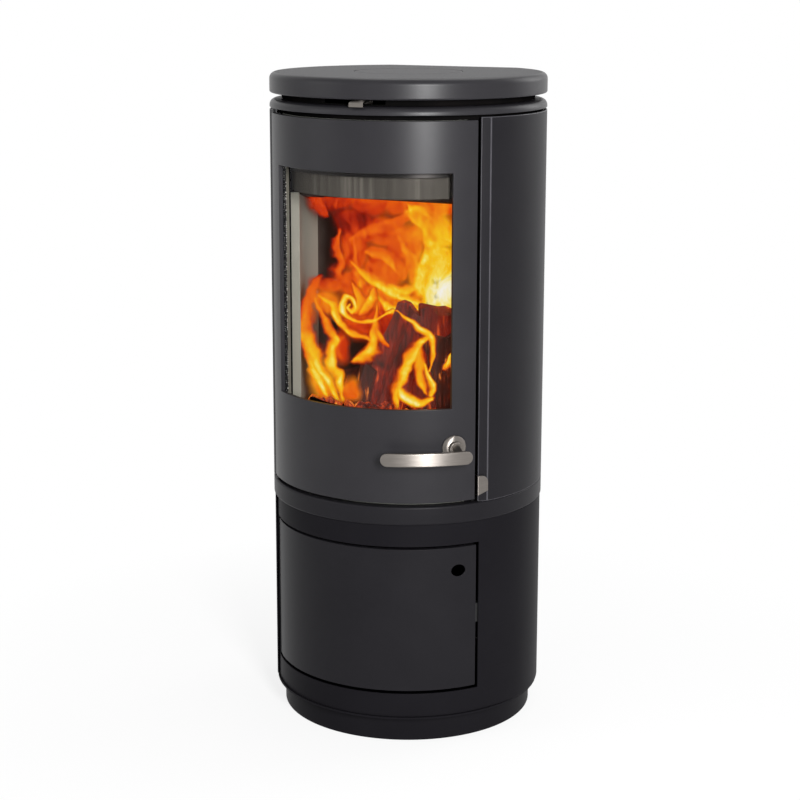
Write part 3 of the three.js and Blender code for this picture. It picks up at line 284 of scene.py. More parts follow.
plan = {
    "radius": 0.215,   # round part of the outline
    "back": 0.183,     # depth of the flat back
    "corner": 0.030,   # radius where the flat back starts
    "step": 2.0,       # degrees between two edges of a round piece
    "tightStep": 4.0,  # degrees between two edges of a corner or a small round
    "roundSteps": 8,   # edges across a rounded corner
}


def outwards(angle):
    turn = math.radians(angle)
    return Vector((math.sin(turn), -math.cos(turn), 0))


def startProfile(bm, profile, angle, closed=False):
    # profile points are (distance in from the outline, height)
    verts = [bm.verts.new(outwards(angle) * (plan["radius"] - inset) + up * z) for inset, z in profile]
    edges = [bm.edges.new(pair) for pair in zip(verts, verts[1:])]
    if closed:
        edges.append(bm.edges.new((verts[-1], verts[0])))
    return verts + edges


def spinOn(bm, geom, centre, degrees, step):
    steps = max(1, math.ceil(degrees / step - 1e-6))
    return bmesh.ops.spin(
        bm, geom=geom, cent=centre, axis=up, dvec=(0, 0, 0), angle=math.radians(degrees),
        steps=steps, use_merge=False, use_duplicate=False,
    )["geom_last"]


def pushOn(bm, geom, offset):
    edges = [g for g in geom if isinstance(g, bmesh.types.BMEdge)]
    made = bmesh.ops.extrude_edge_only(bm, edges=edges)["geom"]
    verts = [g for g in made if isinstance(g, bmesh.types.BMVert)]
    bmesh.ops.translate(bm, verts=verts, vec=offset)
    return verts + [g for g in made if isinstance(g, bmesh.types.BMEdge)]


def sweepOn(bm, geom, stops):
    # carries a profile along the outline, with an edge at each stop in degrees from the front
    cornerY = plan["back"] - plan["corner"]
    cornerX = math.sqrt((plan["radius"] - plan["corner"]) ** 2 - cornerY ** 2)
    turn = 180 - math.degrees(math.atan2(cornerX, cornerY))
    marks = sorted(set(list(stops) + [m for m in (turn, 180, 360 - turn) if stops[0] < m < stops[-1]]))
    for here, there in zip(marks, marks[1:]):
        middle = (here + there) / 2
        if turn < middle < 180:
            geom = spinOn(bm, geom, (cornerX, cornerY, 0), there - here, plan["tightStep"])
        elif 180 < middle < 360 - turn:
            geom = spinOn(bm, geom, (-cornerX, cornerY, 0), there - here, plan["tightStep"])
        else:
            geom = spinOn(bm, geom, (0, 0, 0), there - here, plan["step"])
        if abs(there - 180) < 1e-6:
            geom = pushOn(bm, geom, (-2 * cornerX, 0, 0))
    return geom


def angleOf(spot):
    return math.degrees(math.atan2(spot.x, -spot.y))


def mergeDoubles(bm):
    bmesh.ops.remove_doubles(bm, verts=bm.verts, dist=2e-6)


def roundOff(bm, edges, size, steps):
    return bmesh.ops.bevel(bm, geom=edges, offset=size, segments=steps, profile=0.5, affect="EDGES",
                           material=-1)


def openEdges(bm, test):
    return [e for e in bm.edges if e.is_boundary and all(test(v.co) for v in e.verts)]


def keepPiece(name, bm, material, body, bevel=0.0, wall=0.0, sharp=32, weighted=True, replaces=(),
              slot=None, edgeHighlight=None):
    mesh = bpy.data.meshes.new(name)
    bm.to_mesh(mesh)
    bm.free()
    mesh.shade_smooth()
    if not bevel:
        mesh.set_sharp_from_angle(angle=math.radians(sharp))
    mesh.materials.append(material)
    piece = bpy.data.objects.new(name, mesh)
    bpy.context.scene.collection.objects.link(piece)
    if wall:
        sheet = piece.modifiers.new("wall", "SOLIDIFY")
        sheet.thickness = wall
        sheet.offset = -1
        sheet.use_even_offset = True
    if bevel:
        edge = piece.modifiers.new("edge", "BEVEL")
        edge.width = bevel
        edge.segments = 3
        edge.limit_method = "ANGLE"
        edge.angle_limit = math.radians(sharp)
        edge.harden_normals = True
        # the bevels get a second, lighter paint: a painted edge highlight
        if edgeHighlight:
            mesh.materials.append(edgeHighlight)
            edge.material = 1
    elif weighted:
        weight = piece.modifiers.new("weight", "WEIGHTED_NORMAL")
        weight.keep_sharp = True
    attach(piece, body)
    if replaces:
        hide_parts(*replaces)
    return piece


def closePiece(name, bm, material, body, **options):
    mergeDoubles(bm)
    bmesh.ops.recalc_face_normals(bm, faces=bm.faces)
    return keepPiece(name, bm, material, body, **options)


def faceOut(bm):
    # an open sheet has no inside, so its faces are turned by where the stove's axis is
    bm.normal_update()
    for face in bm.faces:
        out = face.calc_center_median()
        out.z = 0
        if face.normal.dot(out) < 0:
            face.normal_flip()


def punch(bm, holes):
    # takes the faces inside each (left, right, bottom, top) out of a sheet
    for left, right, bottom, top in holes:
        inside = []
        for face in bm.faces:
            spot = face.calc_center_median()
            if left < angleOf(spot) < right and bottom < spot.z < top:
                inside.append(face)
        bmesh.ops.delete(bm, geom=inside, context="FACES")


def sheetMesh(shape):
    # an upright sheet along the outline: its outer face only
    holes = shape.get("holes", [])
    heights = sorted({shape["bottom"], shape["top"], *[z for hole in holes for z in hole[2:]]})
    angles = sorted({shape["left"], shape["right"], *[a for hole in holes for a in hole[:2]]})
    bm = bmesh.new()
    sweepOn(bm, startProfile(bm, [(shape["inset"], z) for z in heights], angles[0]), angles)
    mergeDoubles(bm)
    punch(bm, holes)
    faceOut(bm)
    return bm


def ringProfile(points):
    # corners are (inset, height) or (inset, height, radius): those with a radius are rounded off
    rounded = []
    for i, point in enumerate(points):
        if len(point) == 2:
            rounded.append(point)
            continue
        inset, z, radius = point
        here = Vector((inset, z))
        before = (Vector(points[i - 1][:2]) - here).normalized()
        after = (Vector(points[(i + 1) % len(points)][:2]) - here).normalized()
        centre = here + (before + after) * radius
        for k in range(plan["roundSteps"] + 1):
            share = math.radians(90 * k / plan["roundSteps"])
            spot = centre - after * radius * math.cos(share) - before * radius * math.sin(share)
            rounded.append((spot.x, spot.y))
    return rounded


def solidRing(name, points, material, body, **options):
    bm = bmesh.new()
    sweepOn(bm, startProfile(bm, ringProfile(points), 0, closed=True), [0, 360])
    return closePiece(name, bm, material, body, **options)


# plinth, pedestal and base ring

plinthCorners = [(0.015, 0.0387, 0.001), (0.023, 0.0387), (0.023, 0), (0.015, 0, 0.001)]
solidRing("plinth_ring", plinthCorners, sheetPaintShaded, "stove_body", replaces=["plinth"])

pedestal = {
    "bottom": 0.0423, "top": 0.3506, "wall": 0.0025,
    "frontInset": 0.0055,      # the sheet sits lower across the front
    "backInset": 0.0015,
    "lapInner": -61, "lapOuter": 302,
    "blendFrom": 57, "blendTo": 85,
    "opening": (-55.7, 56.6, 0.0796, 0.3154), "edge": 0.0006,
}


def pedestalShell(shape):
    left, right, low, high = shape["opening"]
    bm = bmesh.new()
    heights = [shape["bottom"], low, high, shape["top"]]
    geom = startProfile(bm, [(shape["backInset"], z) for z in heights], shape["lapInner"])
    geom = sweepOn(bm, geom, [shape["lapInner"], left, right, shape["blendTo"]])
    for vert in bm.verts:
        share = (angleOf(vert.co) - shape["blendFrom"]) / (shape["blendTo"] - shape["blendFrom"])
        share = min(max(share, 0), 1)
        share = share * share * (3 - 2 * share)
        inwards = (shape["frontInset"] - shape["backInset"]) * (1 - share)
        vert.co -= Vector((vert.co.x, vert.co.y, 0)).normalized() * inwards
    punch(bm, [shape["opening"]])
    geom = [g for g in geom if g.is_valid]
    sweepOn(bm, geom, [shape["blendTo"], shape["lapOuter"]])
    faceOut(bm)
    return keepPiece("pedestal_wall", bm, sheetPaintShaded, "stove_body", wall=shape["wall"],
                     bevel=shape["edge"], sharp=40, replaces=["pedestal_shell"])


pedestalShell(pedestal)

logDoor = {
    "inset": 0.0065, "left": -54.5, "right": 55.4, "bottom": 0.084, "top": 0.311,
    "skin": 0.002, "fold": 0.0098,
    "holeAngle": 47, "holeHeight": 0.274, "holeWidth": 0.0235, "holeTall": 0.0185,
    "holeFacets": 36, "edge": 0.0007,
    "patchAngle": 5, "patchTall": 0.016,     # half of the flat patch that the hole is cut in
}


def pedestalDoor(shape):
    angle, height = shape["holeAngle"], shape["holeHeight"]
    patch = (angle - shape["patchAngle"], angle + shape["patchAngle"],
             height - shape["patchTall"], height + shape["patchTall"])
    bm = sheetMesh({**shape, "holes": [patch]})
    rim = [e for e in bm.edges if e.is_boundary and all(
        abs(angleOf(v.co) - angle) <= shape["patchAngle"] + 0.01
        and abs(v.co.z - height) <= shape["patchTall"] + 1e-5 for v in e.verts)]
    edge = [e for e in bm.edges if e.is_boundary and e not in rim]
    radius = plan["radius"] - shape["inset"]
    ring = bmesh.ops.create_circle(bm, segments=shape["holeFacets"], radius=shape["holeWidth"] / 2)["verts"]
    for vert in ring:
        across = vert.co.x
        tall = vert.co.y * shape["holeTall"] / shape["holeWidth"]
        vert.co = outwards(angle + math.degrees(across / radius)) * radius + up * (height + tall)
    loop = [e for e in bm.edges if all(v in ring for v in e.verts)]
    bmesh.ops.bridge_loops(bm, edges=rim + loop)
    folded = bmesh.ops.extrude_edge_only(bm, edges=edge)["geom"]
    for vert in folded:
        if isinstance(vert, bmesh.types.BMVert):
            vert.co -= Vector((vert.co.x, vert.co.y, 0)).normalized() * shape["fold"]
    bmesh.ops.recalc_face_normals(bm, faces=bm.faces)
    front = max(bm.faces, key=lambda f: f.calc_center_median().xy.length)
    if front.normal.dot(front.calc_center_median() * Vector((1, 1, 0))) < 0:
        bmesh.ops.reverse_faces(bm, faces=bm.faces)
    return keepPiece("log_door", bm, panelPaintShaded, "pedestal_door_body", wall=shape["skin"],
                     bevel=shape["edge"], sharp=50, replaces=["pedestal_door"])


pedestalDoor(logDoor)


deckCorners = [(0.028, 0.3796), (0, 0.3796, 0.003), (0, 0.3509, 0.003), (0.018, 0.3509), (0.018, 0.3706),
               (0.028, 0.3706)]


def deckRing(corners):
    bm = bmesh.new()
    sweepOn(bm, startProfile(bm, ringProfile(corners), 0), [0, 360])
    mergeDoubles(bm)
    bmesh.ops.holes_fill(bm, edges=[e for e in bm.edges if e.is_boundary], sides=0)
    return closePiece("base_rim", bm, panelPaintShaded, "stove_body", replaces=["base_ring"])


deckRing(deckCorners)
print("pedestal is ready")


# collar, neck, top plate and lid

collarCorners = [(0.027, 0.965), (0, 0.965, 0.0008), (0, 0.9775, 0.0095), (0.027, 0.9775)]
solidRing("collar_ring", collarCorners, castPaint, "stove_body", replaces=["collar"])

neckShape = {"inset": 0.019, "left": -180, "right": 180, "bottom": 0.9778, "top": 1.0057, "wall": 0.006,
             "slot": (-15.2, 15.2, 0.9795, 0.988), "edge": 0.0005}


def neckBand(shape):
    left, right, low, high = shape["slot"]
    bm = bmesh.new()
    geom = startProfile(bm, [(shape["inset"], z) for z in (shape["bottom"], low, high, shape["top"])], left)
    sweepOn(bm, geom, [left, right, 360 + left])
    mergeDoubles(bm)
    punch(bm, [shape["slot"]])
    faceOut(bm)
    return keepPiece("neck_band", bm, innerPaint, "stove_body", wall=shape["wall"], bevel=shape["edge"],
                     sharp=50, replaces=["neck"])


neckBand(neckShape)

topShape = {
    "top": 1.018, "bottom": 0.987, "thick": 0.012, "rim": 0.014, "round": 0.010, "lowerRound": 0.003,
    "rebateRadius": 0.0844, "rebateDepth": 0.0063, "holeRadius": 0.072, "innerInset": 0.025,
}


def topPlate(shape):
    top, under = shape["top"], shape["top"] - shape["thick"]
    bm = bmesh.new()
    profile = ringProfile([
        (shape["innerInset"], top), (0, top, shape["round"]), (0, shape["bottom"], shape["lowerRound"]),
        (shape["rim"], shape["bottom"]), (shape["rim"], under), (shape["innerInset"], under),
    ])
    sweepOn(bm, startProfile(bm, profile, 0), [0, 360])
    ledge = top - shape["rebateDepth"]
    wide, narrow = shape["rebateRadius"], shape["holeRadius"]
    hole = [(wide, top), (wide, ledge), (narrow, ledge), (narrow, under)]
    geom = startProfile(bm, [(plan["radius"] - r, z) for r, z in hole], 0)
    spinOn(bm, geom, (0, 0, 0), 360, plan["tightStep"])
    mergeDoubles(bm)
    for level in (top, under):
        rims = openEdges(bm, lambda spot: abs(spot.z - level) < 1e-5)
        bmesh.ops.triangle_fill(bm, use_beauty=True, edges=rims, normal=up)
    return closePiece("top_cover", bm, castPaint, "stove_body", replaces=["top_plate"])


topPlate(topShape)


def spunPiece(name, profile, material, body, place=Matrix.Identity(4), facets=96, **options):
    # profile points are (radius, height) along the axis
    bm = bmesh.new()
    verts = [bm.verts.new((r, 0, z)) for r, z in profile]
    edges = [bm.edges.new(pair) for pair in zip(verts, verts[1:])]
    bmesh.ops.spin(bm, geom=verts + edges, cent=(0, 0, 0), axis=up, dvec=(0, 0, 0), angle=math.tau,
                   steps=facets, use_merge=True, use_duplicate=False)
    bmesh.ops.transform(bm, matrix=place, verts=bm.verts)
    return closePiece(name, bm, material, body, **options)


lidProfile = [(0, 1.018), (0.0825, 1.018), (0.0832, 1.0173), (0.0832, 1.0125), (0.0827, 1.012), (0, 1.012)]
spunPiece("lid_disc", lidProfile, castPaint, "flue_lid_body", replaces=["flue_lid"])


def dullTop(names, level=0.99):
    # the flat top runs hottest, and heat dulls its paint: level is how far up such a face looks
    for name in names:
        mesh = bpy.data.objects[name].data
        mesh.materials.append(dulledPaint)
        for face in mesh.polygons:
            if face.normal.z > level:
                face.material_index = 1


dullTop(["top_cover", "lid_disc"])

flueOutlet = {
    "place": (0, 0.1503, 0.8716),
    "profile": [
        (0.070, 0), (0.084, 0), (0.084, 0.0044), (0.0836, 0.005), (0.075, 0.005), (0.075, 0.0895),
        (0.0745, 0.0899), (0.0705, 0.0899), (0.070, 0.0895), (0.070, 0),
    ],
}
backwards = Matrix.Rotation(math.radians(-90), 4, "X")
spunPiece("flue_outlet", flueOutlet["profile"], innerPaint, "stove_body",
          place=Matrix.Translation(flueOutlet["place"]) @ backwards, replaces=["rear_flue_spigot"])
print("top is ready")


# side panels

sidePanel = {
    "bottom": 0.3799, "top": 0.9615, "wall": 0.006, "edge": 0.0012,
    "start": 55.39, "crease": 59.39, "end": 125,
    "drop": 0.004,             # how far the leading edge is set in
}


def sidePanelPiece(name, side, node):
    shape = sidePanel
    stops = sorted(side * a for a in (shape["start"], shape["crease"], shape["end"]))
    bm = bmesh.new()
    sweepOn(bm, startProfile(bm, [(0, shape["bottom"]), (0, shape["top"])], stops[0]), stops)
    for vert in bm.verts:
        share = (shape["crease"] - abs(angleOf(vert.co))) / (shape["crease"] - shape["start"])
        if share > 0:
            vert.co -= Vector((vert.co.x, vert.co.y, 0)).normalized() * shape["drop"] * share
    faceOut(bm)
    # panel paint darkened as painted shade, and a lighter paint on the bevels as a painted edge highlight
    return keepPiece(name, bm, panelPaintShaded, "stove_body", wall=shape["wall"], bevel=shape["edge"],
                     sharp=9, edgeHighlight=edgeHighlightPaint, replaces=[node])


sidePanelPiece("right_panel", 1, "side_panel_right")
sidePanelPiece("left_panel", -1, "side_panel_left")


# stove door

doorShape = {"inset": 0.0015, "left": -53.9, "right": 53.6, "bottom": 0.385, "top": 0.9575,
             "holes": [(-42.0, 43.0, 0.5295, 0.881)], "wall": 0.007, "edge": 0.001}

keepPiece("door_plate", sheetMesh(doorShape), castPaint, "stove_door", wall=doorShape["wall"],
          bevel=doorShape["edge"], sharp=40, replaces=["door_leaf"])

strips = {
    # inset of the outer face, wall, left and right edge in degrees from the front, bottom, top
    "hinge_stile": (0.0085, 0.005, -53.9, -50.85, 0.385, 0.9575),
    "glass_pane": (0.012, 0.004, -45.5, 45.5, 0.521, 0.887),
    "glass_edge_rope": (0.0089, 0.0028, -45.5, 45.5, 0.521, 0.887),
    "lower_retainer": (0.0088, 0.0108, -39.9, 39.9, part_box("glass_retainer_lower")[0][2], 0.520),
    "upper_retainer": (0.0088, 0.0108, -39.9, 39.9, 0.888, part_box("glass_retainer_upper")[1][2]),
    # a dark steel strip behind the glass along the top of the window: a painted shadow band
    "upper_retainer_lip": (0.0166, 0.003, -39.9, 43.0, 0.8735, 0.8875),
    "door_rope": (0.0088, 0.0074, -50.5, 50.5, 0.3885, 0.954),
    "deflector": (0.0267, 0.002, -45.5, 45.5, 0.841, 0.952),
}
stripHoles = {
    # left, right, bottom and top of what a rope goes round
    "glass_edge_rope": (-40.8, 43.8, 0.5268, 0.8815),
    "door_rope": (-48.3, 48.3, 0.3961, 0.9464),
}


def curvedStrip(name, material, body, bevel=0.0006, **options):
    inset, wall, left, right, bottom, top = strips[name]
    holes = [stripHoles[name]] if name in stripHoles else []
    bm = sheetMesh({"inset": inset, "left": left, "right": right, "bottom": bottom, "top": top,
                    "holes": holes})
    return keepPiece(name, bm, material, body, wall=wall, bevel=bevel, sharp=40, **options)


curvedStrip("hinge_stile", castPaint, "stove_door", slot="painted_cast")
curvedStrip("glass_pane", glassSheet, "stove_door", replaces=["door_glass"])
curvedStrip("glass_edge_rope", ropeKnit, "stove_door", bevel=0.0012, replaces=["glass_rope"])
for edge in ("lower", "upper"):
    curvedStrip(edge + "_retainer", plainSteel, "stove_door", replaces=["glass_retainer_" + edge])
# dark strip at the window's top edge: painted shadow
curvedStrip("upper_retainer_lip", plainSteel, "stove_door", slot="bare_steel")
curvedStrip("door_rope", ropeKnit, "stove_door", bevel=0.003, replaces=["door_seal"])
print("door is ready")


# handle

handleShape = {
    "angle": 44, "height": 0.470, "doorRadius": 0.2138,
    "barInner": 0.244, "barThick": 0.006, "barLength": 0.140, "barTall": 0.0206,
    "barOffset": -0.0526, "barDrop": 0.0085,
    "barEdge": 0.0016, "rimAngle": 60,     # an edge of the bar sharper than this is rounded
    "barCuts": 9, "barStep": 0.0062,   # cuts each way from the middle, and their spacing
    "shankRadius": 0.006, "shankTaper": 1.12, "shankFacets": 28,
    "shankInHub": 0.003, "shankInBar": 0.002,
    "hubRadius": 0.0105, "hubStart": 0.2206, "hubDepth": 0.0054, "hubEdge": 0.0009, "hubFacets": 40,
    "rosetteFacets": 56,
    "rosette": [                       # radius, and how far it stands off the door
        (0.0048, 0), (0.019, 0), (0.019, 0.0012), (0.0183, 0.0026), (0.0165, 0.0042), (0.0138, 0.0055),
        (0.0115, 0.0062), (0.0112, 0.0058), (0.0108, 0.0062), (0.0048, 0.0065),
    ],
}


def placeAtHandle(bm, verts=None):
    # from a bench frame (x right, y outwards negative, z up) to the handle's place on the door
    shape = handleShape
    turn = Matrix.Rotation(math.radians(shape["angle"]), 4, "Z")
    bmesh.ops.transform(bm, matrix=Matrix.Translation(up * shape["height"]) @ turn, verts=verts or bm.verts)


def rosette():
    shape = handleShape
    bm = bmesh.new()
    verts = [bm.verts.new((r, -(shape["doorRadius"] + off), 0)) for r, off in shape["rosette"]]
    edges = [bm.edges.new(pair) for pair in zip(verts, verts[1:] + verts[:1])]
    bmesh.ops.spin(bm, geom=verts + edges, cent=(0, 0, 0), axis=(0, 1, 0), dvec=(0, 0, 0), angle=math.tau,
                   steps=shape["rosetteFacets"], use_merge=True, use_duplicate=False)
    placeAtHandle(bm)
    return closePiece("rosette", bm, stainless, "stove_door", replaces=["handle_rosette"])


def stadiumFace(bm, length, tall, segments=10):
    # a long face with round ends in the X-Z plane
    end = (length - tall) / 2
    start = bm.verts.new((end, 0, -tall / 2))
    right = bmesh.ops.spin(bm, geom=[start], cent=(end, 0, 0), axis=(0, -1, 0), dvec=(0, 0, 0),
                           angle=math.pi, steps=segments, use_merge=False, use_duplicate=False)["geom_last"]
    top = [g for g in right if isinstance(g, bmesh.types.BMVert)][0]
    across = bmesh.ops.extrude_vert_indiv(bm, verts=[top])["verts"]
    bmesh.ops.translate(bm, verts=across, vec=(-2 * end, 0, 0))
    bmesh.ops.spin(bm, geom=across, cent=(-end, 0, 0), axis=(0, -1, 0), dvec=(0, 0, 0), angle=math.pi,
                   steps=segments, use_merge=False, use_duplicate=False)
    mergeDoubles(bm)
    loose = [v for v in bm.verts if len(v.link_edges) == 1]
    if len(loose) == 2:
        bm.edges.new(loose)
    return bmesh.ops.contextual_create(bm, geom=bm.edges[:])["faces"]


def leverPiece():
    shape = handleShape
    bm = bmesh.new()
    face = stadiumFace(bm, shape["barLength"], shape["barTall"])
    made = bmesh.ops.extrude_face_region(bm, geom=face)["geom"]
    outer = [g for g in made if isinstance(g, bmesh.types.BMVert)]
    bmesh.ops.translate(bm, verts=outer, vec=(0, -shape["barThick"], 0))
    bmesh.ops.recalc_face_normals(bm, faces=bm.faces)
    sharp = math.radians(shape["rimAngle"])
    rims = [e for e in bm.edges if len(e.link_faces) == 2 and e.calc_face_angle(0) > sharp]
    roundOff(bm, rims, shape["barEdge"], 3)
    for cut in range(-shape["barCuts"], shape["barCuts"] + 1):
        geom = bm.verts[:] + bm.edges[:] + bm.faces[:]
        bmesh.ops.bisect_plane(bm, geom=geom, plane_co=(cut * shape["barStep"], 0, 0), plane_no=(1, 0, 0),
                               dist=1e-6)
    bowRadius = shape["barInner"] + shape["barThick"] / 2
    for vert in bm.verts:
        radius = shape["barInner"] - vert.co.y
        angle = shape["angle"] + math.degrees((vert.co.x + shape["barOffset"]) / bowRadius)
        vert.co = outwards(angle) * radius + up * (vert.co.z + shape["height"] - shape["barDrop"])
    start = Vector((0, -shape["hubStart"] - shape["shankInHub"], 0))
    end = Vector((0, -shape["barInner"] - shape["shankInBar"], -shape["barDrop"]))
    run = end - start
    shank = bmesh.ops.create_cone(bm, segments=shape["shankFacets"], depth=run.length, cap_ends=True,
                                  radius1=shape["shankRadius"] * shape["shankTaper"],
                                  radius2=shape["shankRadius"])["verts"]
    lean = up.rotation_difference(run.normalized()).to_matrix().to_4x4()
    bmesh.ops.transform(bm, matrix=Matrix.Translation((start + end) / 2) @ lean, verts=shank)
    hub = bmesh.ops.create_cone(bm, segments=shape["hubFacets"], depth=shape["hubDepth"], cap_ends=True,
                                radius1=shape["hubRadius"], radius2=shape["hubRadius"])["verts"]
    edges = {e for v in hub for e in v.link_edges if e.calc_face_angle(0) > 1}
    hubPlace = Matrix.Translation((0, -shape["hubStart"] - shape["hubDepth"] / 2, 0))
    bmesh.ops.transform(bm, matrix=hubPlace @ Matrix.Rotation(math.radians(90), 4, "X"), verts=hub)
    placeAtHandle(bm, shank + hub)
    roundOff(bm, list(edges), shape["hubEdge"], 3)
    return keepPiece("lever_bar", bm, stainless, "door_handle", sharp=40, replaces=["handle_lever"])


rosette()
leverPiece()
print("handle is ready")


# air controls

airLeverShape = {
    # radius and height of each bend, from the slide out through the slot and down over its front
    "line": [(0.156, 0.9680), (0.1798, 0.9680), (0.1798, 0.9844), (0.200, 0.9844), (0.2162, 0.9816),
             (0.2162, 0.9768)],
    "angle": 4.6, "wide": 0.022, "thick": 0.0025, "fold": 0.0016, "edge": 0.0004,
}


def airLever(shape):
    bm = bmesh.new()
    verts = [bm.verts.new((-shape["wide"] / 2, -r, z)) for r, z in shape["line"]]
    edges = [bm.edges.new(pair) for pair in zip(verts, verts[1:])]
    pushOn(bm, verts + edges, (shape["wide"], 0, 0))
    folds = [e for e in bm.edges if len(e.link_faces) == 2]
    roundOff(bm, folds, shape["fold"], 4)
    bmesh.ops.transform(bm, matrix=Matrix.Rotation(math.radians(shape["angle"]), 4, "Z"), verts=bm.verts)
    bm.normal_update()
    return keepPiece("air_lever", bm, stainless, "air_wash_control", wall=shape["thick"],
                     bevel=shape["edge"], sharp=50, replaces=["air_wash_lever"])


airLever(airLeverShape)

airTabShape = {
    "angle": 54.646, "height": 0.4065, "face": 0.218, "thick": 0.0025, "wide": 0.018, "tall": 0.030,
    "corner": 0.011, "cut": 0.006, "bladeEnd": 0.1953, "fold": 0.0015, "edge": 0.0005,
}


def airTab(shape):
    # the tab stands in front of the gap and its blade runs back through it
    bm = bmesh.new()
    half, left = shape["tall"] / 2, -shape["thick"] / 2
    right = left + shape["wide"]
    places = ((left, -half), (right, -half), (right, half), (left, half))
    corners = [bm.verts.new((x, -shape["face"], z)) for x, z in places]
    bm.faces.new(corners)
    corners[1].co.z += shape["cut"]
    bmesh.ops.bevel(bm, geom=[corners[2]], offset=shape["corner"], segments=8, profile=0.5,
                    affect="VERTICES", material=-1)
    back = [e for e in bm.edges if all(abs(v.co.x - left) < 1e-6 for v in e.verts)]
    pushOn(bm, back, (0, shape["face"] - shape["bladeEnd"], 0))
    folds = [e for e in bm.edges if len(e.link_faces) == 2]
    roundOff(bm, folds, shape["fold"], 4)
    bmesh.ops.recalc_face_normals(bm, faces=bm.faces)
    place = Matrix.Translation(up * shape["height"]) @ Matrix.Rotation(math.radians(shape["angle"]), 4, "Z")
    bmesh.ops.transform(bm, matrix=place, verts=bm.verts)
    return keepPiece("air_tab", bm, stainless, "primary_air_control", wall=shape["thick"],
                     bevel=shape["edge"], sharp=50, replaces=["primary_air_tab"])


airTab(airTabShape)
print("air controls are ready")


# fire box: deflector and linings

curvedStrip("deflector", deflectorSteel, "stove_body", bevel=0.0005, replaces=["air_deflector"])

baffle = {"depth": 0.1287, "height": 0.7824, "slope": 12.5}   # the rear end of its underside, and degrees


def baffleHeight(depth):
    return baffle["height"] + (baffle["depth"] - depth) * math.tan(math.radians(baffle["slope"]))


liningShape = {"inset": 0.0286, "bottom": 0.4782, "top": 0.80, "wall": 0.016, "edge": 0.001}
linings = {
    # left and right edge in degrees, board, node
    "right_lining": (58, 96, paleBoard, "lining_right"),
    "left_lining": (-96, -58, paleBoard, "lining_left"),
    # the corner boards use the darker board: painted shade
    "right_corner_lining": (96.1, 139, shadedBoard, "lining_corner_right"),
    "left_corner_lining": (-139, -96.1, shadedBoard, "lining_corner_left"),
}


def lining(name, left, right, material, node):
    # a board whose top edge follows the slope of the baffle
    shape = liningShape
    bm = sheetMesh({**shape, "left": left, "right": right})
    for vert in bm.verts:
        if vert.co.z > (shape["bottom"] + shape["top"]) / 2:
            vert.co.z = baffleHeight(vert.co.y)
    return keepPiece(name, bm, material, "stove_body", wall=shape["wall"], bevel=shape["edge"], sharp=50,
                     replaces=[node])


for name, board in linings.items():
    lining(name, *board)
print("fire box is ready")


# the fire: logs, embers and flames, which ride with the fire box

# the photograph's camera: metres from the axis and up, degrees, and pixels of a frame 800 wide
view = {
    "azimuth": 25.0, "distance": 2.912, "height": 1.169,
    "yaw": -0.401, "pitch": 11.962, "roll": -0.052,
    "focal": 1863, "centre": (395.0, 365.9), "frame": 800, "sensor": 36,
}


def flameGlow(name, swirl):
    # burning gas: heat and cover are painted on the sheet's points, and finer turbulence is added here
    material, tree = newMaterial(name)
    heat, cover = (addNode(tree, "ShaderNodeAttribute", attribute_name=layer).outputs["Fac"]
                   for layer in ("flameHeat", "flameCover"))
    wisps = noiseAt(tree, placedSpot(tree, scale=(1, 0.4, 0.55)), 75.0, 4.0, 0.5, 1.6)
    total = mathOn(tree, "ADD", heat, rangeOn(tree, wisps, (0.3, 0.7), (-swirl, swirl)))
    shrunk = mathOn(tree, "MULTIPLY", total, 1 / flames["hottest"])
    tone = toneOn(tree, shrunk, [(level / flames["hottest"], color) for level, color in flames["colors"]])
    glow = addNode(tree, "ShaderNodeEmission", {"Color": tone, "Strength": 1.0})
    clear = addNode(tree, "ShaderNodeBsdfTransparent")
    return closeMaterial(material, mixOn(tree, cover, clear.outputs["BSDF"], glow.outputs["Emission"]))


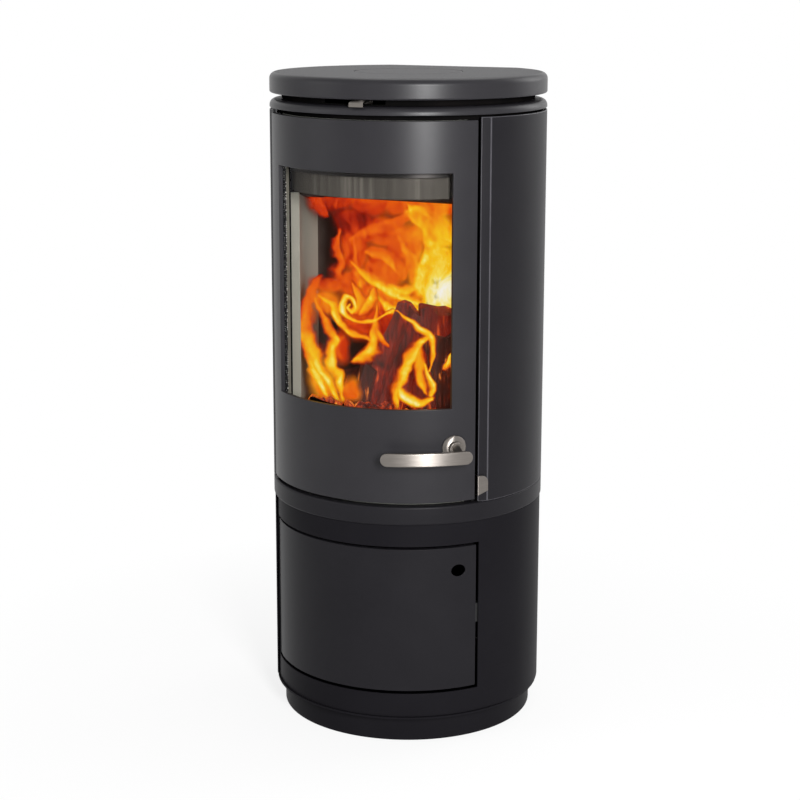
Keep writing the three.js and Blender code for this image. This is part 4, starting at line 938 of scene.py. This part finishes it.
flames = {
    # Places are in percent of the window's width and height as the camera sees it, widths of its width.
    # A cloud is (across, up, half width, half height, heat), and a gap in the flames is too.
    # A tongue is (route, half width, heat, softness): its right side is sharp and its left side soft, or
    # the other way round where softness is below zero. Two values are for its foot and its tip.
    "back": {
        "depth": -0.020, "lean": 0.066, "left": 14, "right": 128, "bottom": 3, "top": 96,
        "clouds": [
            (32, 87, 12, 6, 0.32), (44, 77, 11, 5, 0.16), (53, 86, 12, 6, 0.33), (73, 87, 15, 5, 0.42),
            (92, 88, 12, 6, 0.52), (45, 66, 8, 9, 0.40), (63, 74, 13, 6, 0.48), (62, 58, 12, 7, 0.46),
            (67, 66, 6, 6, 0.34), (76, 68, 7, 10, 0.48), (92, 76, 9, 9, 0.66), (93, 62, 9, 8, 0.78),
            (99, 50, 8, 7, 1.12), (94, 43, 6, 5, 0.95), (29, 49, 9, 3, 0.36), (44, 50, 9, 6, 0.42),
            (58, 46, 14, 6, 0.46), (60, 34, 13, 7, 0.28), (46, 34, 8, 6, 0.40), (112, 70, 10, 18, 0.55),
            (110, 35, 12, 16, 0.62), (78, 73, 5, 5, 0.52), (80, 57, 5, 5, 0.62),
        ],
        "gaps": [(28, 64, 7, 11, 0.7), (24, 76, 5, 4, 0.4)],
        "tongues": [
            ([(75, 84), (77, 80), (83, 76), (85, 69), (84, 63), (81, 58), (80, 53), (84, 49), (89, 43),
              (99, 36)], 1.7, 0.80, 5.0),
            ([(74, 83), (80, 85), (88, 82)], 1.6, 0.68, -3.0),
            ([(43, 60), (51, 55), (58, 51), (66, 48), (74, 46), (82, 43)], (1.2, 2.6), (0.72, 0.92), 3.0),
            ([(53, 48), (60, 44), (66, 41), (73, 41), (82, 43), (85, 47)], 1.5, 0.82, 2.5),
            ([(64, 52), (72, 49), (80, 51)], 2.2, 0.84, 2.0),
            ([(52, 65), (57, 64), (62, 60), (69, 56)], 1.4, 0.64, 3.5),
            ([(37, 73), (35, 67), (38, 60), (36, 55), (39, 51), (32, 49)], 1.0, 0.50, -4.0),
            ([(42, 70), (52, 74), (62, 78), (74, 82)], 1.6, 0.52, -4.0),
            ([(68, 76), (70, 69), (74, 63), (72, 56)], 1.5, 0.56, 4.0),
            ([(24, 91), (24, 85), (28, 80)], 1.2, 0.40, -4.0),
            ([(46, 46), (48, 52), (46, 57)], 1.4, 0.56, 3.0),
            ([(104, 40), (110, 52), (106, 66), (112, 80)], 2.0, 0.80, -4.0),
        ],
    },
    "front": {
        "depth": -0.095, "lean": 0, "left": 4, "right": 108, "bottom": -4, "top": 60,
        "clouds": [(28, 41, 6, 5, 0.48), (25, 6, 7, 6, 0.62), (36, 22, 4, 6, 0.34), (42, 4, 5, 4, 0.54)],
        "gaps": [(25, 27, 4, 8, 0.7)],
        "tongues": [
            ([(33, 0), (27, 8), (20, 16), (15, 23), (13, 29), (14, 36), (17, 42), (21, 48), (24, 53)],
             (2.7, 2.0), (1.02, 0.26), -1.8),
            ([(26, 1), (22, 8), (18, 15), (14, 22)], 2.4, (1.0, 0.62), -1.4),
            ([(37, 0), (35, 9), (31, 14), (31, 20), (34, 25), (30, 29), (26, 34), (22, 42)], (2.6, 1.7),
             (0.92, 0.66), 1.5),
            ([(24, 43), (31, 40), (32, 35), (37, 31), (42, 28), (48, 28), (53, 26)], 1.3, 0.80, 2.6),
            ([(43, 17), (48, 19), (52, 23), (54, 29), (56, 35), (56, 42)], (2.0, 1.2), (0.88, 0.70), -2.6),
            ([(56, 35), (59, 30), (64, 26)], 1.0, 0.70, -3.0),
            ([(40, 41), (39, 39), (42, 38), (44, 41), (42, 44), (38, 44), (36, 41), (37, 37), (43, 35),
              (51, 35), (59, 37),
              (67, 41)], 1.2, 0.86, 1.6),
            ([(44, 39), (46, 44), (43, 50)], 1.3, 0.70, -2.6),
            ([(47, 39), (51, 44), (56, 50)], 1.3, 0.74, -2.6),
            ([(69, 41), (76, 37), (83, 34), (88, 31), (89, 24), (88, 16)], 1.2, 0.88, -1.6),
            ([(88, 31), (82, 27), (78, 22), (75, 15), (72, 9), (70, 4), (70, -2)], 1.3, 0.86, -2.8),
            ([(80, 25), (80, 16), (81, 10), (84, 6)], 1.5, 0.76, 2.4),
            ([(84, 18), (88, 13), (90, 9), (88, 5)], 1.3, 0.90, -2.0),
            ([(70, 7), (73, 2), (80, 0), (88, 3)], 1.7, 0.90, 2.0),
            ([(99, 25), (97, 20), (95, 18)], 1.0, 0.84, 2.0),
        ],
    },
    "tall": 1.45,              # the window's height over its width
    "step": 0.0016,            # distance between two points of a flame sheet
    "bend": 0.010,             # how far a sheet bulges to the front and back
    "leanFrom": 0.7, "leanOver": 0.25,     # where up the window a sheet starts to lean, and for how long
    "underBaffle": 0.001, "faintest": 0.004, "fadeOver": 4,
    "hottest": 1.12,
    "colors": [
        (0.00, "#1a0a08"), (0.12, "#4a120c"), (0.24, "#9c1d0a"), (0.34, "#d23a0c"), (0.46, "#ee6410"),
        (0.58, "#f98c12"), (0.70, "#fdb016"), (0.80, "#ffcc20"), (0.90, "#ffe860"), (1.00, "#fff8c4"),
        (1.12, "#ffffff"),
    ],
}


def softNoise(x, z, size, seed, layers):
    # smooth random values over the plane, about -1 to 1, with a bump every size units and finer ones on it
    total = 0
    for layer in range(layers):
        lattice = numpy.random.RandomState(seed + 7 * layer).uniform(-1, 1, (64, 64))
        across, high = x / size * 2 ** layer + 31.3, z / size * 2 ** layer + 7.7
        i, j = numpy.floor(across).astype(int), numpy.floor(high).astype(int)
        a, b = across - i, high - j
        a, b = a * a * (3 - 2 * a), b * b * (3 - 2 * b)
        near = lattice[i % 64, j % 64] * (1 - a) + lattice[(i + 1) % 64, j % 64] * a
        far = lattice[i % 64, (j + 1) % 64] * (1 - a) + lattice[(i + 1) % 64, (j + 1) % 64] * a
        total = total + (near * (1 - b) + far * b) / 1.7 ** layer
    return total


def smoothRoute(route, pieces=8):
    # a smooth curve through the points of a route
    spots = [numpy.array((across, high * flames["tall"])) for across, high in route]
    spots = [2 * spots[0] - spots[1]] + spots + [2 * spots[-1] - spots[-2]]
    made = []
    for a, b, c, d in zip(spots, spots[1:], spots[2:], spots[3:]):
        for k in range(pieces):
            t = k / pieces
            curve = 2 * b + (c - a) * t + (2 * a - 5 * b + 4 * c - d) * t * t
            made.append((curve + (3 * b - 3 * c + d - a) * t ** 3) / 2)
    return made + [spots[-2]]


def footAndTip(value):
    return value if isinstance(value, tuple) else (value, value)


def tongueShare(x, z, tongue):
    # how near each point is to the tongue's route, from 0 to 1, and how hot the tongue is there
    route, wide, hot, soft = tongue
    spots = smoothRoute(route)
    (wideFoot, wideTip), (hotFoot, hotTip) = footAndTip(wide), footAndTip(hot)
    ragged = 1 + 0.28 * softNoise(x, z, 6, 150, 3)
    share, level = numpy.zeros_like(x), numpy.zeros_like(x)
    for k, (here, there) in enumerate(zip(spots, spots[1:])):
        run = there - here
        along = numpy.clip(((x - here[0]) * run[0] + (z - here[1]) * run[1]) / (run @ run), 0, 1)
        t = (k + along) / (len(spots) - 1)
        offX, offZ = x - here[0] - run[0] * along, z - here[1] - run[1] * along
        softSide = (run[0] * offZ - run[1] * offX) * soft > 0
        taper = numpy.sin(math.pi * numpy.clip(t, 0.04, 0.96)) ** 0.6
        width = (wideFoot + (wideTip - wideFoot) * t) * (0.2 + 0.8 * taper) * ragged
        width = width * numpy.where(softSide, abs(soft), 1)
        near = numpy.exp(-0.9 * (offX ** 2 + offZ ** 2) / width ** 2)
        better = near > share
        share = numpy.where(better, near, share)
        level = numpy.where(better, (hotFoot + (hotTip - hotFoot) * t) * (0.84 + 0.16 * taper), level)
    return share, level * (1 + 0.09 * softNoise(x, z, 5, 170, 3))


def paintHeat(across, high, sheet):
    tall = flames["tall"]
    x, z = across, high * tall
    x, z = x + softNoise(x, z, 14, 3, 3) * 1.3, z + softNoise(x, z, 14, 4, 3) * 1.3
    heat, weight, cover = numpy.zeros_like(x), numpy.full_like(x, 1e-3), numpy.zeros_like(x)
    for right, rise, wide, deep, hot in sheet["clouds"]:
        share = numpy.exp(-1.1 * (((x - right) / wide) ** 2 + ((z / tall - rise) / deep) ** 2))
        heat, weight = heat + hot * share, weight + share
        cover = numpy.maximum(cover, numpy.clip(2.4 * share - 0.12, 0, 1))
    heat = heat / weight
    for right, rise, wide, deep, hot in sheet["gaps"]:
        share = numpy.exp(-0.8 * (((x - right) / wide) ** 2 + ((z / tall - rise) / deep) ** 2) ** 2)
        heat = heat - 0.6 * hot * share
        cover = cover * (1 - min(1.6 * hot, 1) * share)
    bentX, bentZ = x + softNoise(x, z, 22, 60, 2) * 9, z + softNoise(x, z, 22, 62, 2) * 9
    streaks = softNoise(bentX, bentZ * 0.45, 6.5, 90, 4)
    heat = heat + 0.085 * cover * streaks
    for tongue in sheet["tongues"]:
        share, level = tongueShare(x, z, tongue)
        heat = numpy.maximum(heat, level * share ** 0.42 + 0.07 * streaks * share)
        cover = numpy.maximum(cover, numpy.clip(2.6 * share - 0.05, 0, 1))
    return heat, cover


def cameraPlace():
    return outwards(view["azimuth"]) * view["distance"] + up * view["height"]


def slideInView(spot, depth):
    # moves a point to another depth along the line from the camera
    eye = cameraPlace()
    return eye + (spot - eye) * (depth - eye.y) / (spot.y - eye.y)


def seenThrough(angle, height, depth):
    # where the camera sees a corner of the window on the upright plane at this depth
    corner = outwards(angle) * (plan["radius"] - doorShape["inset"]) + up * height
    return slideInView(corner, depth)


def flameSheet(name, sheet, material):
    left, right, low, high = doorShape["holes"][0]
    corners = {(a, h): seenThrough(a, h, sheet["depth"]) for a in (left, right) for h in (low, high)}
    width = (corners[right, low] - corners[left, low]).length
    share = (sheet["right"] - sheet["left"]) / 100
    rise = (sheet["top"] - sheet["bottom"]) / 100
    bm = bmesh.new()
    bmesh.ops.create_grid(bm, x_segments=round(width * share / flames["step"]),
                          y_segments=round(width * rise * flames["tall"] / flames["step"]), size=0.5)
    places = numpy.array([vert.co[:] for vert in bm.verts]) + 0.5
    across = sheet["left"] + places[:, 0] * 100 * share
    tall = sheet["bottom"] + places[:, 1] * 100 * rise
    heat, cover = paintHeat(across, tall, sheet)
    edge = numpy.minimum.reduce([
        across - sheet["left"], sheet["right"] - across, tall - sheet["bottom"], sheet["top"] - tall])
    cover = cover * numpy.clip(edge / flames["fadeOver"], 0, 1)
    bulge = softNoise(across, tall, 25, 21, 1) * flames["bend"]
    for vert, a, t, push in zip(bm.verts, across / 100, tall / 100, bulge):
        foot = corners[left, low].lerp(corners[right, low], a)
        head = corners[left, high].lerp(corners[right, high], a)
        lean = sheet["lean"] * min(max((t - flames["leanFrom"]) / flames["leanOver"], 0), 1)
        spot = foot.lerp(head, t)
        vert.co = slideInView(spot, spot.y + push - lean)
    low = [vert.co.z < baffleHeight(vert.co.y) - flames["underBaffle"] for vert in bm.verts]
    seen = (cover >= flames["faintest"]) & numpy.array(low)
    bare = [vert for vert, kept in zip(bm.verts, seen) if not kept]
    bmesh.ops.delete(bm, geom=bare, context="VERTS")
    piece = keepPiece(name, bm, material, "stove_body", weighted=False)
    for label, values in (("flameHeat", heat), ("flameCover", cover)):
        layer = piece.data.attributes.new(label, "FLOAT", "POINT")
        layer.data.foreach_set("value", values[seen].astype(numpy.float32))
    return piece


flameSheet("flames_back", flames["back"], flameGlow("burning wood gas", 0.05))
flameSheet("flames_front", flames["front"], flameGlow("flame tongues", 0.03))


def burningWood(name, stops):
    # split log: charred along its ridges and glowing in the cracks, fibres about 5 mm apart
    material, tree = newMaterial(name)
    fibres = placedSpot(tree, scale=(1, 1, 0.16), rotation=(0, math.radians(14), 0))
    patch = noiseAt(tree, placedSpot(tree), 26.0, 3.0, bend=0.6)
    total = mathOn(tree, "ADD", noiseAt(tree, fibres, 210.0, 5.0), patch)
    return solidMaterial(material, {
        "Base Color": hexToLinear("#2a1410"), "Roughness": 0.85, "Normal": reliefOn(tree, total, 0.8, 0.002),
        "Emission Color": toneOn(tree, rangeOn(tree, total, (0.7, 1.3), (0.0, 1.0)), stops),
        "Emission Strength": 1.0,
    })


glowingLog = burningWood("glowing split log", [
    (0.0, "#1c0604"), (0.3, "#4c0f08"), (0.6, "#6e170c"), (0.85, "#8c2410"), (1.0, "#d8551a")])
charredLog = burningWood("charred log", [
    (0.0, "#0c0404"), (0.4, "#1f0a07"), (0.7, "#3a110a"), (0.9, "#6a2410"), (1.0, "#e08028")])
emberBed = burningWood("bed of embers", [
    (0.0, "#1a0503"), (0.3, "#5a1206"), (0.55, "#a5300a"), (0.8, "#e46a14"), (1.0, "#ffc04a")])

logs = {
    # (foot, head, radius, flatness, turn in degrees, material)
    "log_left": ((-0.025, -0.050, 0.482), (0.035, -0.030, 0.650), 0.040, 0.6, 20, glowingLog),
    "log_middle": ((0.055, -0.030, 0.482), (0.065, -0.030, 0.655), 0.038, 0.7, -30, glowingLog),
    "log_right": ((0.110, -0.040, 0.482), (0.082, -0.045, 0.620), 0.034, 0.8, 40, charredLog),
    "log_stump": ((-0.055, -0.060, 0.480), (-0.035, -0.055, 0.560), 0.024, 0.8, 10, charredLog),
    "log_behind": ((-0.110, 0.015, 0.500), (0.125, 0.030, 0.520), 0.036, 0.8, 0, charredLog),
}


logShape = {
    "facets": 30, "cuts": 24, "taper": 0.94,
    "flat": 1.35,              # above 1, how deep the split faces cut into the round
    "ridge": 0.05, "crack": 0.03, "swell": 0.04, "torn": 0.005,
}


def splitLog(name, foot, head, radius, flatness, turn, material):
    # a split billet: flat split faces between round ones, roughened along the fibres
    shape = logShape
    foot, head = Vector(foot), Vector(head)
    run = head - foot
    bm = bmesh.new()
    bmesh.ops.create_cone(bm, segments=shape["facets"], radius1=radius, radius2=radius * shape["taper"],
                          depth=run.length, cap_ends=True, cap_tris=True)
    sides = [e for e in bm.edges if abs(e.verts[0].co.z - e.verts[1].co.z) > run.length / 2]
    bmesh.ops.subdivide_edges(bm, edges=sides, cuts=shape["cuts"])
    rough = random.Random(name)
    phases = [rough.uniform(0, math.tau) for _ in range(5)]
    for vert in bm.verts:
        around = math.atan2(vert.co.y, vert.co.x)
        split = 1 / max(1.0, shape["flat"] * abs(math.cos(around * 1.5 + phases[0])))
        ridges = shape["ridge"] * math.sin(7 * around + phases[1] + vert.co.z * 14)
        ridges += shape["crack"] * math.sin(13 * around + phases[2])
        swell = split * (1 + ridges + shape["swell"] * math.sin(vert.co.z * 50 + phases[3]))
        vert.co.x *= swell
        vert.co.y *= swell * flatness
        if abs(vert.co.z) > run.length / 2 - 1e-4:
            vert.co.z += shape["torn"] * math.sin(vert.co.x * 130 + phases[4])
    lean = up.rotation_difference(run.normalized()).to_matrix().to_4x4()
    place = Matrix.Translation((foot + head) / 2) @ (lean @ Matrix.Rotation(math.radians(turn), 4, "Z"))
    bmesh.ops.transform(bm, matrix=place, verts=bm.verts)
    return closePiece(name, bm, material, "stove_body", sharp=50)


for name, shape in logs.items():
    splitLog(name, *shape)

emberShape = {
    "count": 170, "reach": 0.150, "depth": 0.85, "forward": 0.01, "floor": 0.4815, "pile": 0.012,
    "size": (0.006, 0.013), "uneven": (0.75, 1.15),
}


def embers(shape):
    # a loose bed of coals behind the log guard
    rough = random.Random(11)
    bm = bmesh.new()
    for _ in range(shape["count"]):
        reach, turn = shape["reach"] * math.sqrt(rough.random()), rough.uniform(0, math.tau)
        size = rough.uniform(*shape["size"])
        lump = bmesh.ops.create_icosphere(bm, subdivisions=1, radius=size)["verts"]
        for vert in lump:
            vert.co *= rough.uniform(*shape["uneven"])
        spot = Vector((reach * math.sin(turn), reach * math.cos(turn) * shape["depth"] - shape["forward"],
                       shape["floor"] + size + rough.uniform(0, shape["pile"])))
        tumble = Matrix.Rotation(rough.uniform(0, 6), 3, "X")
        bmesh.ops.rotate(bm, verts=lump, cent=(0, 0, 0), matrix=tumble)
        bmesh.ops.translate(bm, verts=lump, vec=spot)
    bmesh.ops.recalc_face_normals(bm, faces=bm.faces)
    return keepPiece("ember_bed", bm, emberBed, "stove_body", sharp=80)


embers(emberShape)
print("fire is ready")


# stage, light and camera

lamps = {
    # place, what it looks at, width and height, power in watts
    "key light": ((1.60, -2.05, 1.25), (0, 0, 0.75), (0.5, 0.9), 100),
    "fill light": ((-2.4, -2.2, 1.6), (0, 0, 0.6), (1.6, 2.2), 18),
    "top light": ((-0.1, 0.9, 2.9), (0, 0, 1.0), (1.8, 1.6), 18),
    "back light": ((1.9, 2.6, 1.9), (0, 0, 0.6), (1.6, 2.0), 30),
}
stage = {
    "radius": 9, "height": -0.0005, "facets": 64,
    "fade": (0.25, 0.9), "shade": (0.82, 1.0),   # metres from the stove, and how white the floor is there
    "soft": 0.22, "white": 1.0,                  # strength of the world on the stove and behind it
}


def softLamp(name, location, target, size, power):
    lamp = bpy.data.lights.new(name, "AREA")
    lamp.shape = "RECTANGLE"
    lamp.size, lamp.size_y = size
    lamp.energy = power
    lampObject = bpy.data.objects.new(name, lamp)
    lampObject.location = location
    lampObject.rotation_euler = (Vector(target) - Vector(location)).to_track_quat("-Z", "Y").to_euler()
    bpy.context.scene.collection.objects.link(lampObject)


def seenAsWhite(tree):
    # 1 for what the camera sees, itself or in metal and glass
    path = addNode(tree, "ShaderNodeLightPath").outputs
    mirrored = mathOn(tree, "MAXIMUM", path["Is Camera Ray"], path["Is Glossy Ray"])
    return mathOn(tree, "MAXIMUM", mirrored, path["Is Transmission Ray"])


def floorStage():
    bm = bmesh.new()
    bmesh.ops.create_circle(bm, segments=stage["facets"], radius=stage["radius"], cap_ends=True)
    bmesh.ops.translate(bm, verts=bm.verts, vec=(0, 0, stage["height"]))
    mesh = bpy.data.meshes.new("floor")
    bm.to_mesh(mesh)
    bm.free()
    material, tree = newMaterial("pale studio floor")
    away = addNode(tree, "ShaderNodeVectorMath", {0: placedSpot(tree)}, operation="LENGTH")
    fade = rangeOn(tree, away.outputs["Value"], stage["fade"], stage["shade"])
    share = mathOn(tree, "MULTIPLY", seenAsWhite(tree), fade)
    pale = addNode(tree, "ShaderNodeBsdfDiffuse", {"Color": hexToLinear("#fafafa")})
    glow = addNode(tree, "ShaderNodeEmission", {"Color": hexToLinear("#ffffff"), "Strength": stage["white"]})
    both = mixOn(tree, share, pale.outputs["BSDF"], glow.outputs["Emission"])
    mesh.materials.append(closeMaterial(material, both))
    floor = bpy.data.objects.new("floor", mesh)
    bpy.context.scene.collection.objects.link(floor)


def studioWorld():
    world = bpy.data.worlds.new("studio")
    world.use_nodes = True
    tree = world.node_tree
    tree.nodes.clear()
    soft = addNode(tree, "ShaderNodeBackground",
                   {"Color": hexToLinear("#f0f0f2"), "Strength": stage["soft"]})
    white = addNode(tree, "ShaderNodeBackground",
                    {"Color": hexToLinear("#ffffff"), "Strength": stage["white"]})
    both = mixOn(tree, seenAsWhite(tree), soft.outputs["Background"], white.outputs["Background"])
    addNode(tree, "ShaderNodeOutputWorld", {"Surface": both})
    bpy.context.scene.world = world


def setCamera():
    camera = bpy.data.cameras.new("camera")
    camera.sensor_width = view["sensor"]
    camera.lens = view["focal"] / view["frame"] * view["sensor"]
    camera.shift_x = (view["frame"] / 2 - view["centre"][0]) / view["frame"]
    camera.shift_y = (view["centre"][1] - view["frame"] / 2) / view["frame"]
    place = Matrix.Translation(cameraPlace())
    turn = Matrix.Rotation(math.radians(view["azimuth"] - view["yaw"]), 4, "Z")
    tilt = Matrix.Rotation(math.radians(90 - view["pitch"]), 4, "X")
    roll = Matrix.Rotation(math.radians(-view["roll"]), 4, "Z")
    cameraObject = bpy.data.objects.new("camera", camera)
    cameraObject.matrix_world = place @ turn @ tilt @ roll
    bpy.context.scene.collection.objects.link(cameraObject)
    bpy.context.scene.camera = cameraObject


floorStage()
studioWorld()
setCamera()
for name, lamp in lamps.items():
    softLamp(name, *lamp)
bpy.context.scene.view_settings.view_transform = "Standard"
print("stage is ready")
